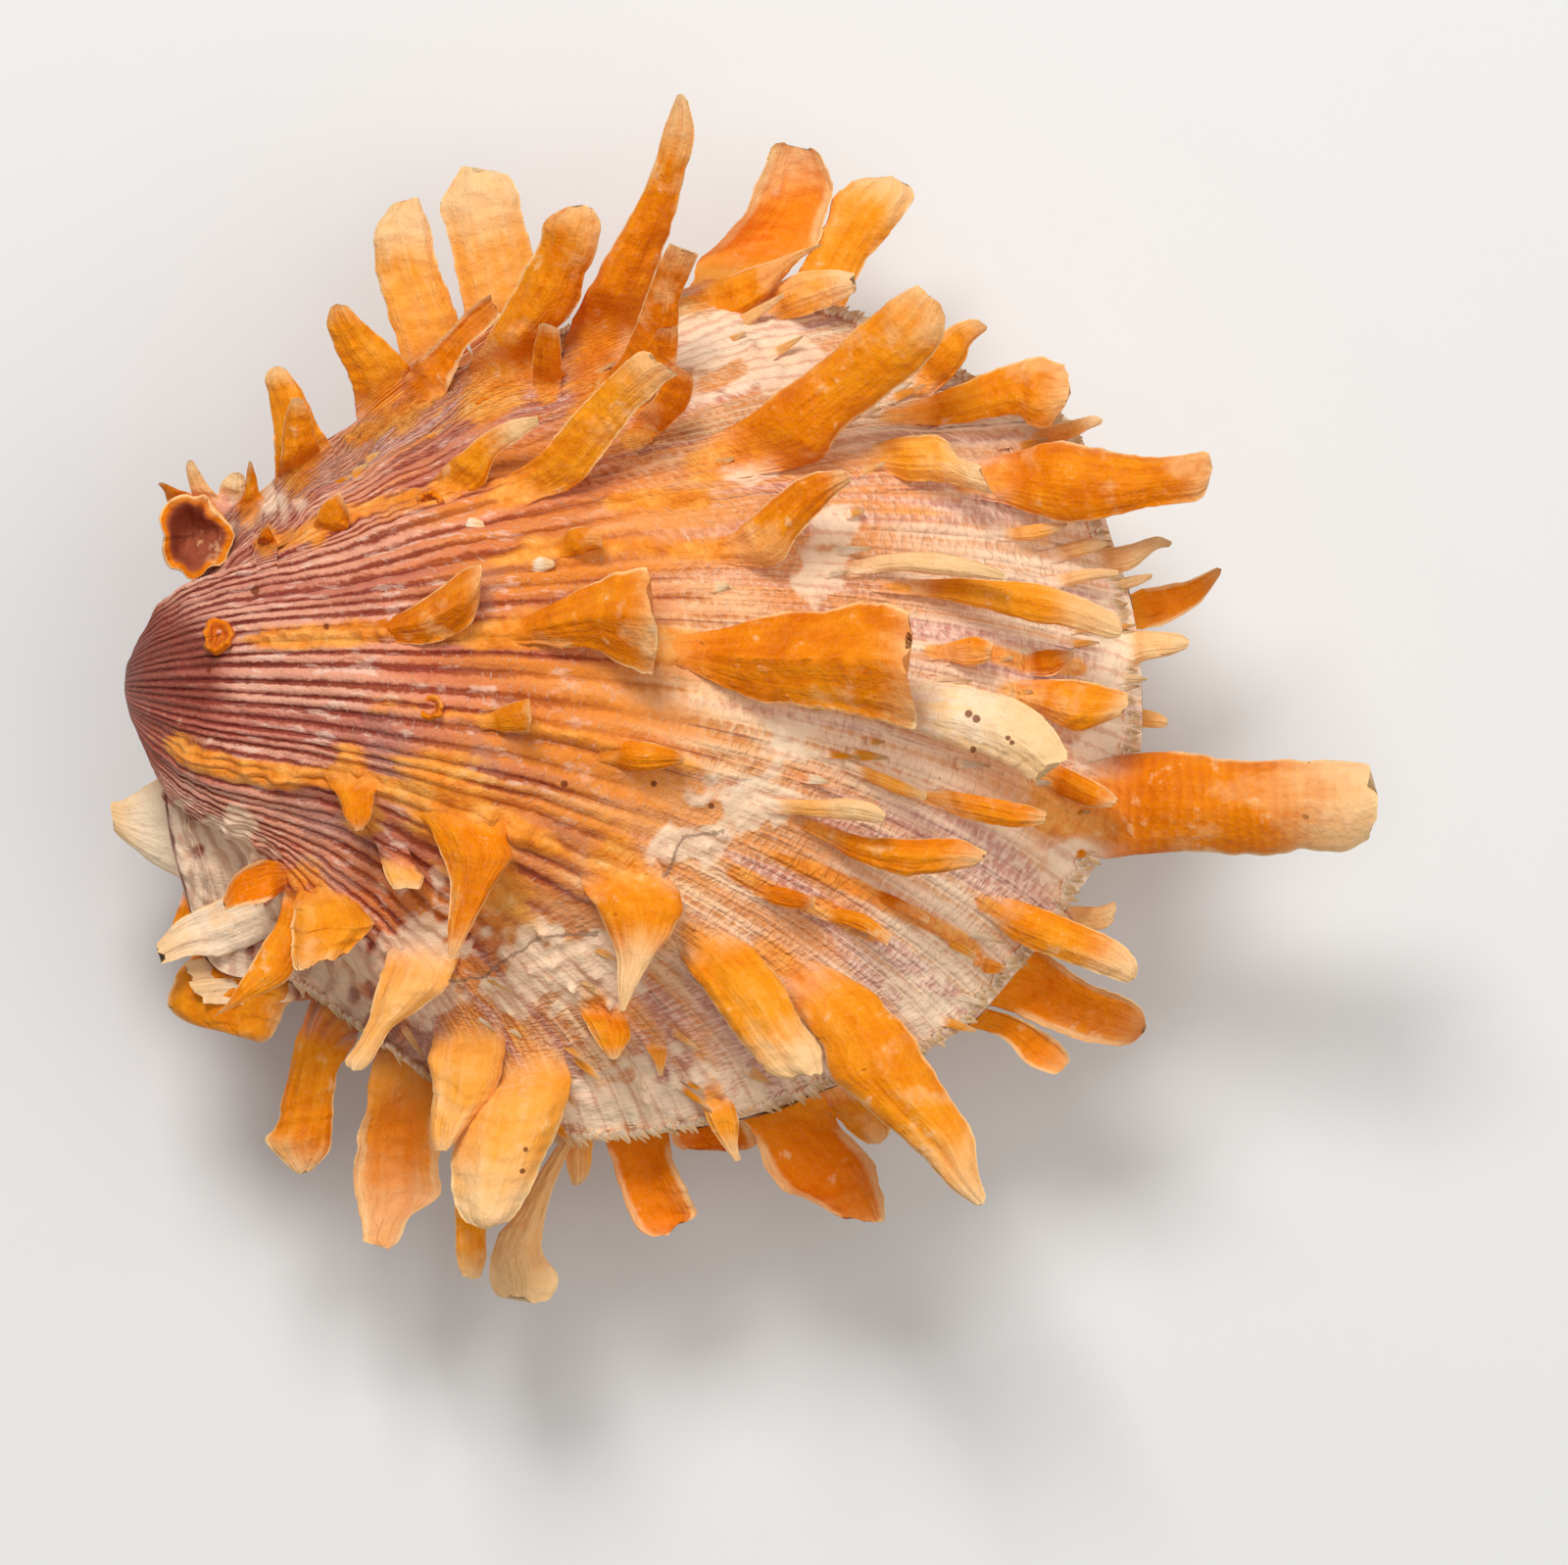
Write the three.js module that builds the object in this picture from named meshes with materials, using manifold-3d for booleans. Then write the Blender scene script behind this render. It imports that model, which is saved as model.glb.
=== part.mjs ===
// A thorny oyster shell: two hollow valves, closed on each other,
// with the spines grown out of each valve's ribs.
// Millimetres, +Z up. The lower valve rests on the flat scar where it grew on rock, at z = 0,
// the beaks point along -X, and the free edge of the valves is on the +X side.
import * as THREE from 'three';
import { mergeVertices } from 'three/addons/utils/BufferGeometryUtils.js';
import Module from 'manifold-3d';

const wasm = await Module();
wasm.setup();

// Driving dimensions
const BEAK_X = -50;             // where all the ribs start
const SEAM_Z = 30;              // height of the plane where the two valves meet
const SEAM_GAP = 0.3;           // clearance between the valves
const UPPER_SPIRAL = 0.682;     // how fast the upper valve coils towards its beak
const MAX_TURN = 1.4;           // largest turn of a growth line about the hinge, in radians
const LOWER_DEPTH = 34;         // depth of the lower valve before the scar is cut
const LOWER_FULLNESS = 0.6;     // 1 is a shallow bowl, a smaller value has steeper sides
const LOWER_SIDE_FALL = 0.45;   // how the lower valve gets shallower towards its ears
const FULL_WIDTH = 101.5;       // beak to free edge
const EAR_FADE = 0.07;          // share of the outline over which the valves thin out to the hinge line
const FOLD_COUNT = 12;          // broad folds of the upper valve along its edge
const FOLD_HEIGHT = 0.5;
const WALL_SCALE = 0.925;       // plan size of the space inside over the valve's own
const UPPER_CAVITY_HEIGHT = 0.85; // height of the space inside over the valve's own
const LOWER_CAVITY_DEPTH = 0.86;
const CAVITY_CENTRE = new THREE.Vector2(-6, -3);
const CAVITY_OVERLAP = 2;       // how far the space inside is cut on past the seam
const SPINE_SINK = 1.4;         // depth of a spine's root below the valve's surface
const SPINE_SAG = 0.12;         // dip of a spine's middle over its length
const LOWER_ROOT_DROP = 5;      // depth below the seam at which the lower valve's spines start
const BODY_LIMIT = 0.955;       // spines take root no nearer to the edge than this growth stage
const ROOT_STEP = 0.5;          // step in which a root is moved over the valve
const BLOCK_SPAN = 300;         // size of the blocks that cut the valves off flat
const BLOCK_HEIGHT = 100;

// Fineness of the solids
const UPPER_GRID = [46, 9];     // steps along the edge and from the beak outwards
const LOWER_GRID = [36, 8];
const CAVITY_GRID = [20, 6];
const EDGE_RAYS = 240;
const HALVINGS = 40;
const MERGE_DISTANCE = 1e-4;

// Spine forms: thickness over width, depth of the groove on the inner side, steps round and along
const SCOOP = { thickness: 0.5, gutter: 0.17, sides: 8, steps: 3 };
const FANG = { thickness: 0.42, gutter: 0.14, sides: 6, steps: 3 };
const THORN = { thickness: 0.8, gutter: 0, sides: 5, steps: 3 };
const TRUMPET = { thickness: 0.75, gutter: 0.1, sides: 9, steps: 3, mouth: 2.5 };
const STUB = { thickness: 0.8, gutter: 0, sides: 6, steps: 2 };
const LOWER_SCOOP = { thickness: 0.45, gutter: 0.17, sides: 6, steps: 3 };
const UNDERSIDE_FORM = { thickness: 0.5, gutter: 0.1, sides: 5, steps: 2 };

// The valves' edge seen from above, from the upper ear round the free edge to the lower ear,
// each point measured from the beak
const EDGE_POINTS = [
  [6.5, 15.5], [15, 23], [20, 26.5], [30, 31.5], [41, 36], [55, 40], [72, 38.5], [85, 31.5],
  [94.5, 27], [98, 17], [100.5, 8], [101.5, 0], [101, -9], [97, -18], [89.5, -28.5], [82, -36],
  [70, -41], [59, -44.5], [45, -46.5], [35, -44], [23, -36], [15, -30.5], [6.5, -28.5], [3, -17],
].map(([x, y]) => new THREE.Vector3(x, y, 0));
const edge = new THREE.CatmullRomCurve3(EDGE_POINTS, false, 'centripetal');

// Growth of the valves
function earFade(t) {
  const near = Math.min(t, 1 - t) / EAR_FADE;
  return THREE.MathUtils.smoothstep(near, 0, 1);
}

function folds(stage, t) {
  return FOLD_HEIGHT * stage * Math.cos(2 * Math.PI * FOLD_COUNT * t) * earFade(t);
}

// A point on the upper valve's outside. Stage 0 is the beak and stage 1 is the present edge.
function upperPoint(stage, t) {
  const rim = edge.getPoint(t);
  const turn = Math.min(UPPER_SPIRAL * Math.log(1 / Math.max(stage, 1e-6)), MAX_TURN);
  const swell = folds(stage, t) * Math.sin(Math.PI * Math.min(stage, 1)) ** 0.5;
  const height = stage * Math.sin(turn) * rim.x * earFade(t);
  const z = height > 0 ? height + swell : 0;
  return new THREE.Vector3(BEAK_X + stage * Math.cos(turn) * rim.x, stage * rim.y, z);
}

// A point on the lower valve's outside, as a depth below the seam
function lowerPoint(stage, t) {
  const rim = edge.getPoint(t);
  const bowl = Math.max(4 * stage * (1 - stage), 0) ** LOWER_FULLNESS;
  const side = (rim.x / FULL_WIDTH) ** LOWER_SIDE_FALL * earFade(t);
  const depth = LOWER_DEPTH * bowl * side;
  return new THREE.Vector3(BEAK_X + stage * rim.x, stage * rim.y, depth > 0 ? -depth : 0);
}

// Closed solids from open or overlapping geometry pieces
function toSolid(geometry) {
  const bare = geometry.clone();
  bare.deleteAttribute('normal');
  bare.deleteAttribute('uv');
  const merged = mergeVertices(bare, MERGE_DISTANCE);
  const source = merged.index.array;
  const corners = [];
  for (let i = 0; i < source.length; i += 3) {
    const [a, b, c] = source.slice(i, i + 3);
    if (a !== b && b !== c && a !== c) corners.push(a, b, c);
  }
  const mesh = new wasm.Mesh({
    numProp: 3,
    vertProperties: new Float32Array(merged.attributes.position.array),
    triVerts: new Uint32Array(corners),
  });
  return new wasm.Manifold(mesh);
}

function flip(geometry) {
  const index = geometry.index.array;
  for (let i = 0; i < index.length; i += 3) [index[i], index[i + 1]] = [index[i + 1], index[i]];
  return geometry;
}

// A solid whose faces point outwards, whichever way the geometry was wound
function outwardSolid(geometry) {
  const solid = toSolid(geometry);
  return solid.volume() > 0 ? solid : toSolid(flip(geometry));
}

function joinGeometries(pieces) {
  const positions = [];
  const corners = [];
  for (const piece of pieces) {
    const offset = positions.length / 3;
    positions.push(...piece.attributes.position.array);
    corners.push(...Array.from(piece.index.array, (i) => i + offset));
  }
  const joined = new THREE.BufferGeometry();
  joined.setAttribute('position', new THREE.Float32BufferAttribute(positions, 3));
  joined.setIndex(corners);
  return joined;
}

// A valve as a full solid: its curved outside, closed by a flat face in the plane of the seam
function valveSolid(pointAt, [edgeSteps, growthSteps], faceDown) {
  const skin = new THREE.PlaneGeometry(1, 1, edgeSteps, growthSteps);
  const place = skin.attributes.position;
  for (let i = 0; i < place.count; i += 1) {
    const t = (i % (edgeSteps + 1)) / edgeSteps;
    const stage = (growthSteps - Math.floor(i / (edgeSteps + 1))) / growthSteps;
    const point = pointAt(stage, t);
    place.setXYZ(i, point.x, point.y, point.z);
  }
  const column = (t) => Array.from({ length: growthSteps }, (_, j) => pointAt((j + 1) / growthSteps, t));
  const freeEdge = Array.from({ length: edgeSteps - 1 }, (_, i) => pointAt(1, (i + 1) / edgeSteps));
  const rim = [pointAt(0, 0), ...column(0), ...freeEdge, ...column(1).reverse()];
  const lid = new THREE.ShapeGeometry(new THREE.Shape(rim.map((p) => new THREE.Vector2(p.x, p.y))));
  if (faceDown) flip(lid);
  else flip(skin);
  return toSolid(joinGeometries([skin, lid]));
}

// The same valve made smaller about the middle of the seam, for the space inside
function cavitySolid(pointAt, heightScale, throughSeam, faceDown) {
  const smaller = (stage, t) => {
    const p = pointAt(stage, t);
    p.x = CAVITY_CENTRE.x + (p.x - CAVITY_CENTRE.x) * WALL_SCALE;
    p.y = CAVITY_CENTRE.y + (p.y - CAVITY_CENTRE.y) * WALL_SCALE;
    p.z *= heightScale;
    return p;
  };
  const space = valveSolid(smaller, CAVITY_GRID, faceDown);
  const sleeve = valveSolid(smaller, CAVITY_GRID, faceDown).translate([0, 0, throughSeam]);
  return space.add(sleeve);
}

// Where a spot seen from above lies on a valve
const edgeRays = Array.from({ length: EDGE_RAYS + 1 }, (_, i) => {
  const t = i / EDGE_RAYS;
  const p = edge.getPoint(t);
  return { t, angle: Math.atan2(p.y, p.x), reach: Math.hypot(p.x, p.y) };
});

function rayAt(angle) {
  const inside = THREE.MathUtils.clamp(angle, edgeRays.at(-1).angle, edgeRays[0].angle);
  const k = Math.max(1, edgeRays.findIndex((ray) => ray.angle <= inside));
  const [a, b] = [edgeRays[k - 1], edgeRays[k]];
  const share = (a.angle - inside) / Math.max(a.angle - b.angle, 1e-9);
  return { t: THREE.MathUtils.lerp(a.t, b.t, share), reach: THREE.MathUtils.lerp(a.reach, b.reach, share) };
}

// The spot as it lay on the young shell of one growth stage, scaled up to the present edge
function unrolled(x, y, stage, isUpper) {
  const turn = isUpper ? THREE.MathUtils.clamp(UPPER_SPIRAL * Math.log(1 / stage), 0, MAX_TURN) : 0;
  return new THREE.Vector2((x - BEAK_X) / (stage * Math.cos(turn)), y / stage);
}

function stageAt(x, y, isUpper) {
  let [low, high] = [0.02, 1.3];
  for (let k = 0; k < HALVINGS; k += 1) {
    const stage = (low + high) / 2;
    const spot = unrolled(x, y, stage, isUpper);
    if (spot.length() > rayAt(Math.atan2(spot.y, spot.x)).reach) low = stage;
    else high = stage;
  }
  const spot = unrolled(x, y, low, isUpper);
  return { stage: low, t: rayAt(Math.atan2(spot.y, spot.x)).t };
}

function surfaceHeight(x, y, isUpper) {
  const { stage, t } = stageAt(x, y, isUpper);
  return SEAM_Z + (isUpper ? upperPoint : lowerPoint)(Math.min(stage, 1), t).z;
}

// Spines. Each row: name, root x and y, tip x and y, width at root, middle and tip,
// rise from root to tip, sideways bow of the middle.
// Scoops are arched with a hollow on their inner side, thorns taper to a point,
// trumpets widen to an open mouth, and stubs are short and blunt.
const UPPER_SCOOPS = [
  ['front_ear_horn', -32.5, 20, -34.2, 30.2, 5.5, 4, 1.5, 5, 0.4],
  ['back_ear_horn', -35, 18.5, -36.7, 32.8, 5.5, 4.2, 2.8, 2.5, 0.5],
  ['forked_horn', -26.5, 26, -30.6, 39.2, 6.5, 5.5, 2, 6, 0.6],
  ['hollow_top_spine', -23, 27, -14.5, 39.5, 5.5, 4.5, 2.5, 7, -0.8],
  ['broad_top_spine', -14.5, 29, -5.5, 48.8, 7.5, 6.5, 5, 9, 1],
  ['brown_top_spine', -5, 27, 4.5, 44.7, 5, 4.2, 3.2, 11, 0.4],
  ['small_brown_spine', -1, 28, 3.5, 36.3, 3.6, 3, 2, 8, 0],
  ['patched_spine', -13, 19, 3.5, 32, 6.5, 5.5, 4, 9, 0.8],
  ['behind_patched_spine', 0, 24.5, 5.5, 32.5, 4, 3, 3, 6, 0],
  ['cream_tip_spine', -20, 18.6, -9.8, 27, 3.8, 3.6, 2.8, 6, 0],
  ['upper_edge_spine', 5.5, 38, 18.6, 45, 5, 4, 1.2, 5, 0.8],
  ['upper_edge_ragged', 13.5, 36.5, 23, 41.3, 5, 4, 3, 5, 0.5],
  ['great_scoop', 8, 22, 30.5, 39, 7, 8, 5.5, 9, -0.6],
  ['right_top_thorn', 29.5, 30.5, 35.3, 37, 3.8, 2.8, 1.5, 4, 0],
  ['curled_scoop', 31.5, 26, 43.5, 31.5, 4.5, 6, 5.5, 5, 0.4],
  ['long_side_spine', 34.5, 20.8, 57.8, 21.5, 6.8, 6, 4.2, 6, -0.8],
  ['short_ragged_scoop', 22, 23, 35.8, 22, 3.5, 5, 5, 4, 0.3],
  ['edge_giant', 45, -12, 75.8, -12.2, 9.8, 9.5, 8.2, 5, 0],
  ['pitted_scoop', 24, -1.8, 42, -7.5, 6, 6, 4.5, 3, 0.6],
  ['next_to_pitted', 41, -3, 51, -1.8, 3, 3, 2.5, 3, 0],
  ['below_pitted', 42, -10, 49.3, -11.8, 4, 2.8, 1.5, 3, 0],
  ['orange_row_spine', 28, 10.4, 49, 5.5, 3.5, 4, 2.2, 3.5, 0.8],
  ['patch_brown_scoop', 10, 13, 20.7, 21.2, 6, 4.6, 2.8, 6, 0],
  ['ragged_row_spine', 18.5, -15.3, 35, -17.2, 3, 4, 2.5, 3, 0.3],
  ['row_spine_low', 29, -11.2, 41.6, -13.2, 3.5, 3, 2.4, 2.5, 0.2],
  ['lower_right_spine', 36, -22.5, 50.5, -28.3, 4, 4.5, 3.8, 3, 0.5],
  ['great_lower_spine', 13.5, -27, 35.2, -52.5, 7.5, 10, 2.4, 6, 1.5],
  ['lower_pale_scoop', 5.5, -24, 17.5, -38, 6.5, 7, 5, 6, 0.8],
  ['left_double_lobe', -31.5, -20.5, -30, -28.5, 5, 6, 5, 4, 0],
  ['left_pointed_lobe', -34, -19.2, -42.6, -33.6, 5.5, 5.5, 1.4, 5, -0.8],
  ['left_curl_scoop', -34.5, -18.8, -42, -22.2, 3, 4, 2, 4, 0],
  ['pale_lower_horn', -21.5, -26.5, -28.7, -39, 7, 4.5, 1.8, 4, 0.8],
  ['bottom_twin_left', -15, -33.5, -20, -47, 9, 7.5, 2, 3, -0.8],
  ['bottom_twin_right', -12, -35, -14.2, -55.2, 11, 8.5, 5.5, 5, 0.6],
];
const UPPER_FANGS = [
  ['middle_fang', -1, -17.5, -1.2, -32.7, 9.5, 8, 1, 5, 0.5],
  ['left_fang', -18.5, -11.5, -18.2, -27.5, 11, 7, 1.5, 5, 0],
  ['first_fang', -28, -8.8, -27.8, -14.8, 5, 3.6, 1, 3, 0],
  ['bottom_small_fang', -3.5, -32.5, -2.2, -38, 5, 3, 0.8, 2, 0],
  ['bottom_tiny_fang', 1.5, -35, 2.5, -39.8, 3.2, 2, 0.7, 2, 0],
  ['bottom_right_fang', 8, -40.5, 10.5, -48.6, 4.4, 3.2, 0.8, 1, 0],
];
const UPPER_THORNS = [
  ['ear_cup_spike', -46, 15, -48.8, 20.7, 3, 1.8, 0.6, 3, 0],
  ['ear_cream_spike', -43.6, 14.5, -45.8, 23.1, 3.4, 1.9, 0.6, 3, 0],
  ['ear_small_thorn', -39.2, 16.5, -39.6, 23, 2.2, 1.6, 0.6, 3, 0],
  ['tall_thorn', -5, 30, 4.7, 60.2, 7.8, 5, 1, 12, 1.2],
  ['pale_thorn_a', 38.5, 25, 47.5, 27.2, 2.6, 1.8, 0.8, 3, 0],
  ['pale_thorn_b', 44.5, 12.3, 54.5, 14.7, 2.6, 1.8, 0.7, 3, 0],
  ['pale_thorn_c', 48.5, 10.4, 52.6, 11.4, 1.6, 1.2, 0.6, 2, 0],
  ['pale_thorn_d', 41.5, 14, 47.5, 14.8, 1.8, 1.3, 0.6, 2, 0],
  ['pale_thorn_e', 42.5, 10.8, 49, 11.4, 1.8, 1.3, 0.6, 2, 0],
  ['row_thorn', 21.5, -8.2, 29.2, -11.2, 3, 2, 0.8, 2, 0],
  ['white_arch', 21, 12.2, 37.5, 11, 2.4, 2.2, 1.6, 4.5, 0.9],
  ['cream_rod', 13, -12.4, 25.4, -13.2, 2.6, 2.6, 1.8, 3.5, 0.5],
  ['edge_pale_thorn', 49, 3.8, 56.3, 4.4, 3, 2.6, 2.2, 2, 0],
];
const UPPER_TRUMPETS = [
  ['first_trumpet', -27, 5, -15.8, 8.8, 1.6, 3.4, 6.2, 6, 0],
  ['middle_trumpet', -14, 4.8, 2.2, 6.3, 1.8, 5, 10.4, 6.5, 0],
  ['great_trumpet', 1.5, 3.4, 28.5, 1.5, 3.5, 8, 12.8, 6, 0],
];
const UPPER_STUBS = [
  ['barnacle_stub', -8.3, 28, -8.8, 36.5, 2.8, 2.4, 2.2, 6, 0],
  ['beak_curl', -41, 4.8, -43.2, 5.2, 2.6, 3, 2.6, 1.2, 0],
  ['row_stub_a', -15, -3.5, -10.5, -2.8, 2.4, 3.6, 3.8, 3, 0],
  ['row_stub_b', -2, -6.6, 3.2, -7.6, 3, 3.4, 2.6, 2, 0],
  ['row_stub_c', -7.5, 14.3, -3.6, 15, 2.6, 3.6, 2.4, 2, 0],
  ['row_scale', -32.5, 14.6, -29.6, 19.5, 4.6, 3.6, 1.2, 2.4, 0],
];
const LOWER_SPINES = [
  ['notched_top_spine', -20.3, 30, -23.5, 50, 6.5, 5.6, 4, 2, 0.4],
  ['broad_top_spatula', -13.5, 33, -16.3, 53.3, 7.5, 8, 7, 1, 1],
  ['deep_gutter_spine', 6, 36.5, 16.8, 55.5, 9.5, 8, 5.5, 1, -0.8],
  ['lobed_top_spine', 16.5, 36, 26.5, 51.8, 8, 7, 5, 0, -0.5],
  ['right_horn', 48.5, 6.6, 59.9, 12.2, 4.4, 3.6, 1, 3, -0.6],
  ['right_stub', 47.5, -3.2, 54.5, -3.6, 2.6, 2, 1.4, 1, 0],
  ['lower_right_stub', 43, -23.6, 49.1, -22.8, 2.6, 2.6, 2.5, 1, 0],
  ['cream_rim_gutter', 34, -29.5, 51.8, -34.5, 7, 5.8, 4.5, 1, -0.6],
  ['rounded_gutter', 30, -32.5, 43.8, -38.8, 3.4, 3.2, 3, -1, 0],
  ['left_bottom_spine', -31, -31.5, -35, -49.5, 5.6, 4.8, 5, 0, 0.8],
  ['pale_rim_spine', -23.5, -36.5, -25.3, -57.5, 7, 8, 5, 1, 0.5],
  ['flared_peach_spine', -6, -42, -11.5, -63, 3.6, 4.4, 7, 2, 0.8],
  ['yellow_spine', -16.5, -40.5, -17, -60.8, 3.6, 3.4, 3, -2, 0],
  ['bottom_nub', -5.3, -42, -6.3, -51.1, 2.8, 2.4, 1.4, 0, 0],
  ['deep_orange_spine', 0, -42.5, 3.5, -56, 7, 6.6, 6, 0, 0.4],
  ['bottom_lobe', 4.5, -41.5, 8, -47.8, 5, 4.8, 4, 1, 0],
  ['ragged_bottom_spine', 15.5, -40, 23.5, -54.8, 10, 9, 4.8, 0, 0.6],
  ['small_bottom_right', 19.5, -39, 25.3, -46.3, 3.6, 3.6, 3, 1, 0],
  ['ear_flange', -38, -26, -42.5, -34.4, 9, 10, 4, 0, 0],
  ['ear_flange_point', -39, -25.5, -47.8, -32, 6, 5, 2.6, 0, 0],
  ['ear_fold', -42, -22.5, -48.8, -27.6, 5, 4, 2, 2, 0],
];
// Short spines low on the lower valve, where it hung over the rock.
// Each row: name, direction seen from above in degrees, growth stage of the root, length, width
const UNDERSIDE_SPINES = [
  ['under_a', 64, 0.86, 13, 4.5], ['under_b', 33, 0.84, 15, 5], ['under_c', 8, 0.85, 14, 5.5],
  ['under_d', -14, 0.86, 15, 5], ['under_e', -36, 0.85, 15, 5.5], ['under_f', -62, 0.84, 15, 5],
  ['under_g', -92, 0.84, 14, 5], ['under_h', -118, 0.85, 12, 4.5], ['under_i', 92, 0.84, 13, 5],
  ['under_j', 118, 0.85, 11, 4.5],
];
// The cup's wall as radius and height, from the middle underneath to the middle of its hollow
const EAR_CUP_PROFILE = [[0, -2.5], [3, -2.5], [3.6, 1], [3.9, 4.2], [2.9, 4.2], [2.2, 1], [0, 0.6]];
const EAR_CUP_PLACE = [-45, 14.6, SEAM_Z + 1.8];
const EAR_CUP_SIDES = 10;
const LOWER_BEAK_SIZE = [9, 8, 7.5];
const LOWER_BEAK_TURN = THREE.MathUtils.degToRad(-4);
const LOWER_BEAK_PLACE = [-45.6, -13.4, SEAM_Z - 7.7];
const UNDERSIDE_CENTRE = new THREE.Vector2(0, -2);
const UNDERSIDE_DROP = 0.35;    // fall of an underside spine over its length

// Width of a spine at a share of its length
function widthAlong([root, middle, tip], u) {
  if (u < 0.5) return THREE.MathUtils.lerp(root, middle, u * 2);
  return THREE.MathUtils.lerp(middle, tip, u * 2 - 1);
}

// Bends a closed cylinder into a spine along its own curve
function spineSolid({ root, tip, widths, thickness, bow, gutter, sides, steps, lower, mouth }) {
  const along = new THREE.Vector3().subVectors(tip, root);
  const flat = new THREE.Vector3(along.x, along.y, 0).normalize();
  const across = new THREE.Vector3(-flat.y, flat.x, 0);
  const middle = new THREE.Vector3().lerpVectors(root, tip, 0.5).addScaledVector(across, 2 * bow);
  middle.z += (lower ? 1 : -1) * SPINE_SAG * along.length();
  const line = new THREE.QuadraticBezierCurve3(root, middle, tip);
  const body = new THREE.CylinderGeometry(1, 1, 1, sides, steps, false, Math.PI / sides);
  const place = body.attributes.position;
  for (let i = 0; i < place.count; i += 1) {
    const u = THREE.MathUtils.clamp(place.getY(i) + 0.5, 0, 1);
    const width = widthAlong(widths, u);
    const forward = line.getTangent(u);
    const side = new THREE.Vector3().crossVectors(new THREE.Vector3(0, 0, 1), forward).normalize();
    const up = new THREE.Vector3().crossVectors(forward, side).multiplyScalar(lower ? -1 : 1);
    const s = place.getX(i);
    const h = place.getZ(i);
    const hollow = h < -0.05 ? gutter * width * u * (1 - s * s) : 0;
    const lift = h * thickness * width * 0.5 + hollow;
    const spot = line.getPoint(u);
    spot.addScaledVector(side, s * width * 0.5).addScaledVector(up, lift);
    if (mouth && place.getY(i) > 0.49 && Math.hypot(s, h) < 0.5) spot.addScaledVector(forward, -mouth);
    place.setXYZ(i, spot.x, spot.y, spot.z);
  }
  return outwardSolid(body);
}

// Walks a root back along its spine until it is well on the valve
function rootedAt(root, tip, isUpper) {
  const step = new THREE.Vector2().subVectors(root, tip).setLength(ROOT_STEP);
  const spot = root.clone();
  while (stageAt(spot.x, spot.y, isUpper).stage > BODY_LIMIT) spot.add(step);
  return spot;
}

function spine(row, form, isUpper) {
  const [, rootX, rootY, tipX, tipY, w0, w1, w2, rise, bow] = row;
  const { x, y } = rootedAt(new THREE.Vector2(rootX, rootY), new THREE.Vector2(tipX, tipY), isUpper);
  const height = isUpper ? surfaceHeight(x, y, true) - SPINE_SINK : SEAM_Z - LOWER_ROOT_DROP;
  return spineSolid({
    root: new THREE.Vector3(x, y, height),
    tip: new THREE.Vector3(tipX, tipY, height + SPINE_SINK + rise),
    widths: [w0, w1, w2],
    bow,
    lower: !isUpper,
    ...form,
  });
}

function undersideSpine([, degrees, stage, length, width]) {
  const out = new THREE.Vector2(1, 0).rotateAround(new THREE.Vector2(), THREE.MathUtils.degToRad(degrees));
  const spot = UNDERSIDE_CENTRE.clone();
  while (stageAt(spot.x, spot.y, false).stage < stage) spot.addScaledVector(out, ROOT_STEP);
  spot.addScaledVector(out, -SPINE_SINK);
  const root = new THREE.Vector3(spot.x, spot.y, surfaceHeight(spot.x, spot.y, false) + SPINE_SINK);
  const tip = root.clone().add(new THREE.Vector3(out.x, out.y, -UNDERSIDE_DROP).multiplyScalar(length));
  const widths = [width, width * 0.85, width * 0.35];
  return spineSolid({ root, tip, widths, bow: 0, lower: true, ...UNDERSIDE_FORM });
}

// The upper valve's front ear, curled into a small open cup
function earCup() {
  const profile = EAR_CUP_PROFILE.map(([radius, height]) => new THREE.Vector2(radius, height));
  const cup = new THREE.LatheGeometry(profile, EAR_CUP_SIDES);
  cup.rotateX(Math.PI / 2);
  cup.scale(1, 1.15, 1);
  cup.rotateX(THREE.MathUtils.degToRad(-8));
  cup.rotateY(THREE.MathUtils.degToRad(-14));
  cup.translate(...EAR_CUP_PLACE);
  return outwardSolid(cup);
}

// The worn beak of the lower valve, which stands out behind the hinge as a blunt pointed lobe
function lowerBeak() {
  const lump = new THREE.SphereGeometry(1, 10, 7);
  const place = lump.attributes.position;
  for (let i = 0; i < place.count; i += 1) {
    const narrowing = 0.72 + 0.28 * place.getX(i);
    place.setY(i, place.getY(i) * narrowing);
    place.setZ(i, place.getZ(i) * narrowing);
  }
  lump.scale(...LOWER_BEAK_SIZE);
  lump.rotateZ(LOWER_BEAK_TURN);
  lump.translate(...LOWER_BEAK_PLACE);
  return toSolid(lump);
}

function allSpines(groups) {
  return groups.flatMap(([rows, form, isUpper]) => rows.map((row) => spine(row, form, isUpper)));
}

// A wide block with its top at the given height
function blockBelow(top) {
  const block = new THREE.BoxGeometry(BLOCK_SPAN, BLOCK_SPAN, BLOCK_HEIGHT);
  return toSolid(block.translate(0, 0, top - BLOCK_HEIGHT / 2));
}

function joined(valve, pieces) {
  return pieces.reduce((whole, piece) => whole.add(piece), valve);
}

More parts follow.
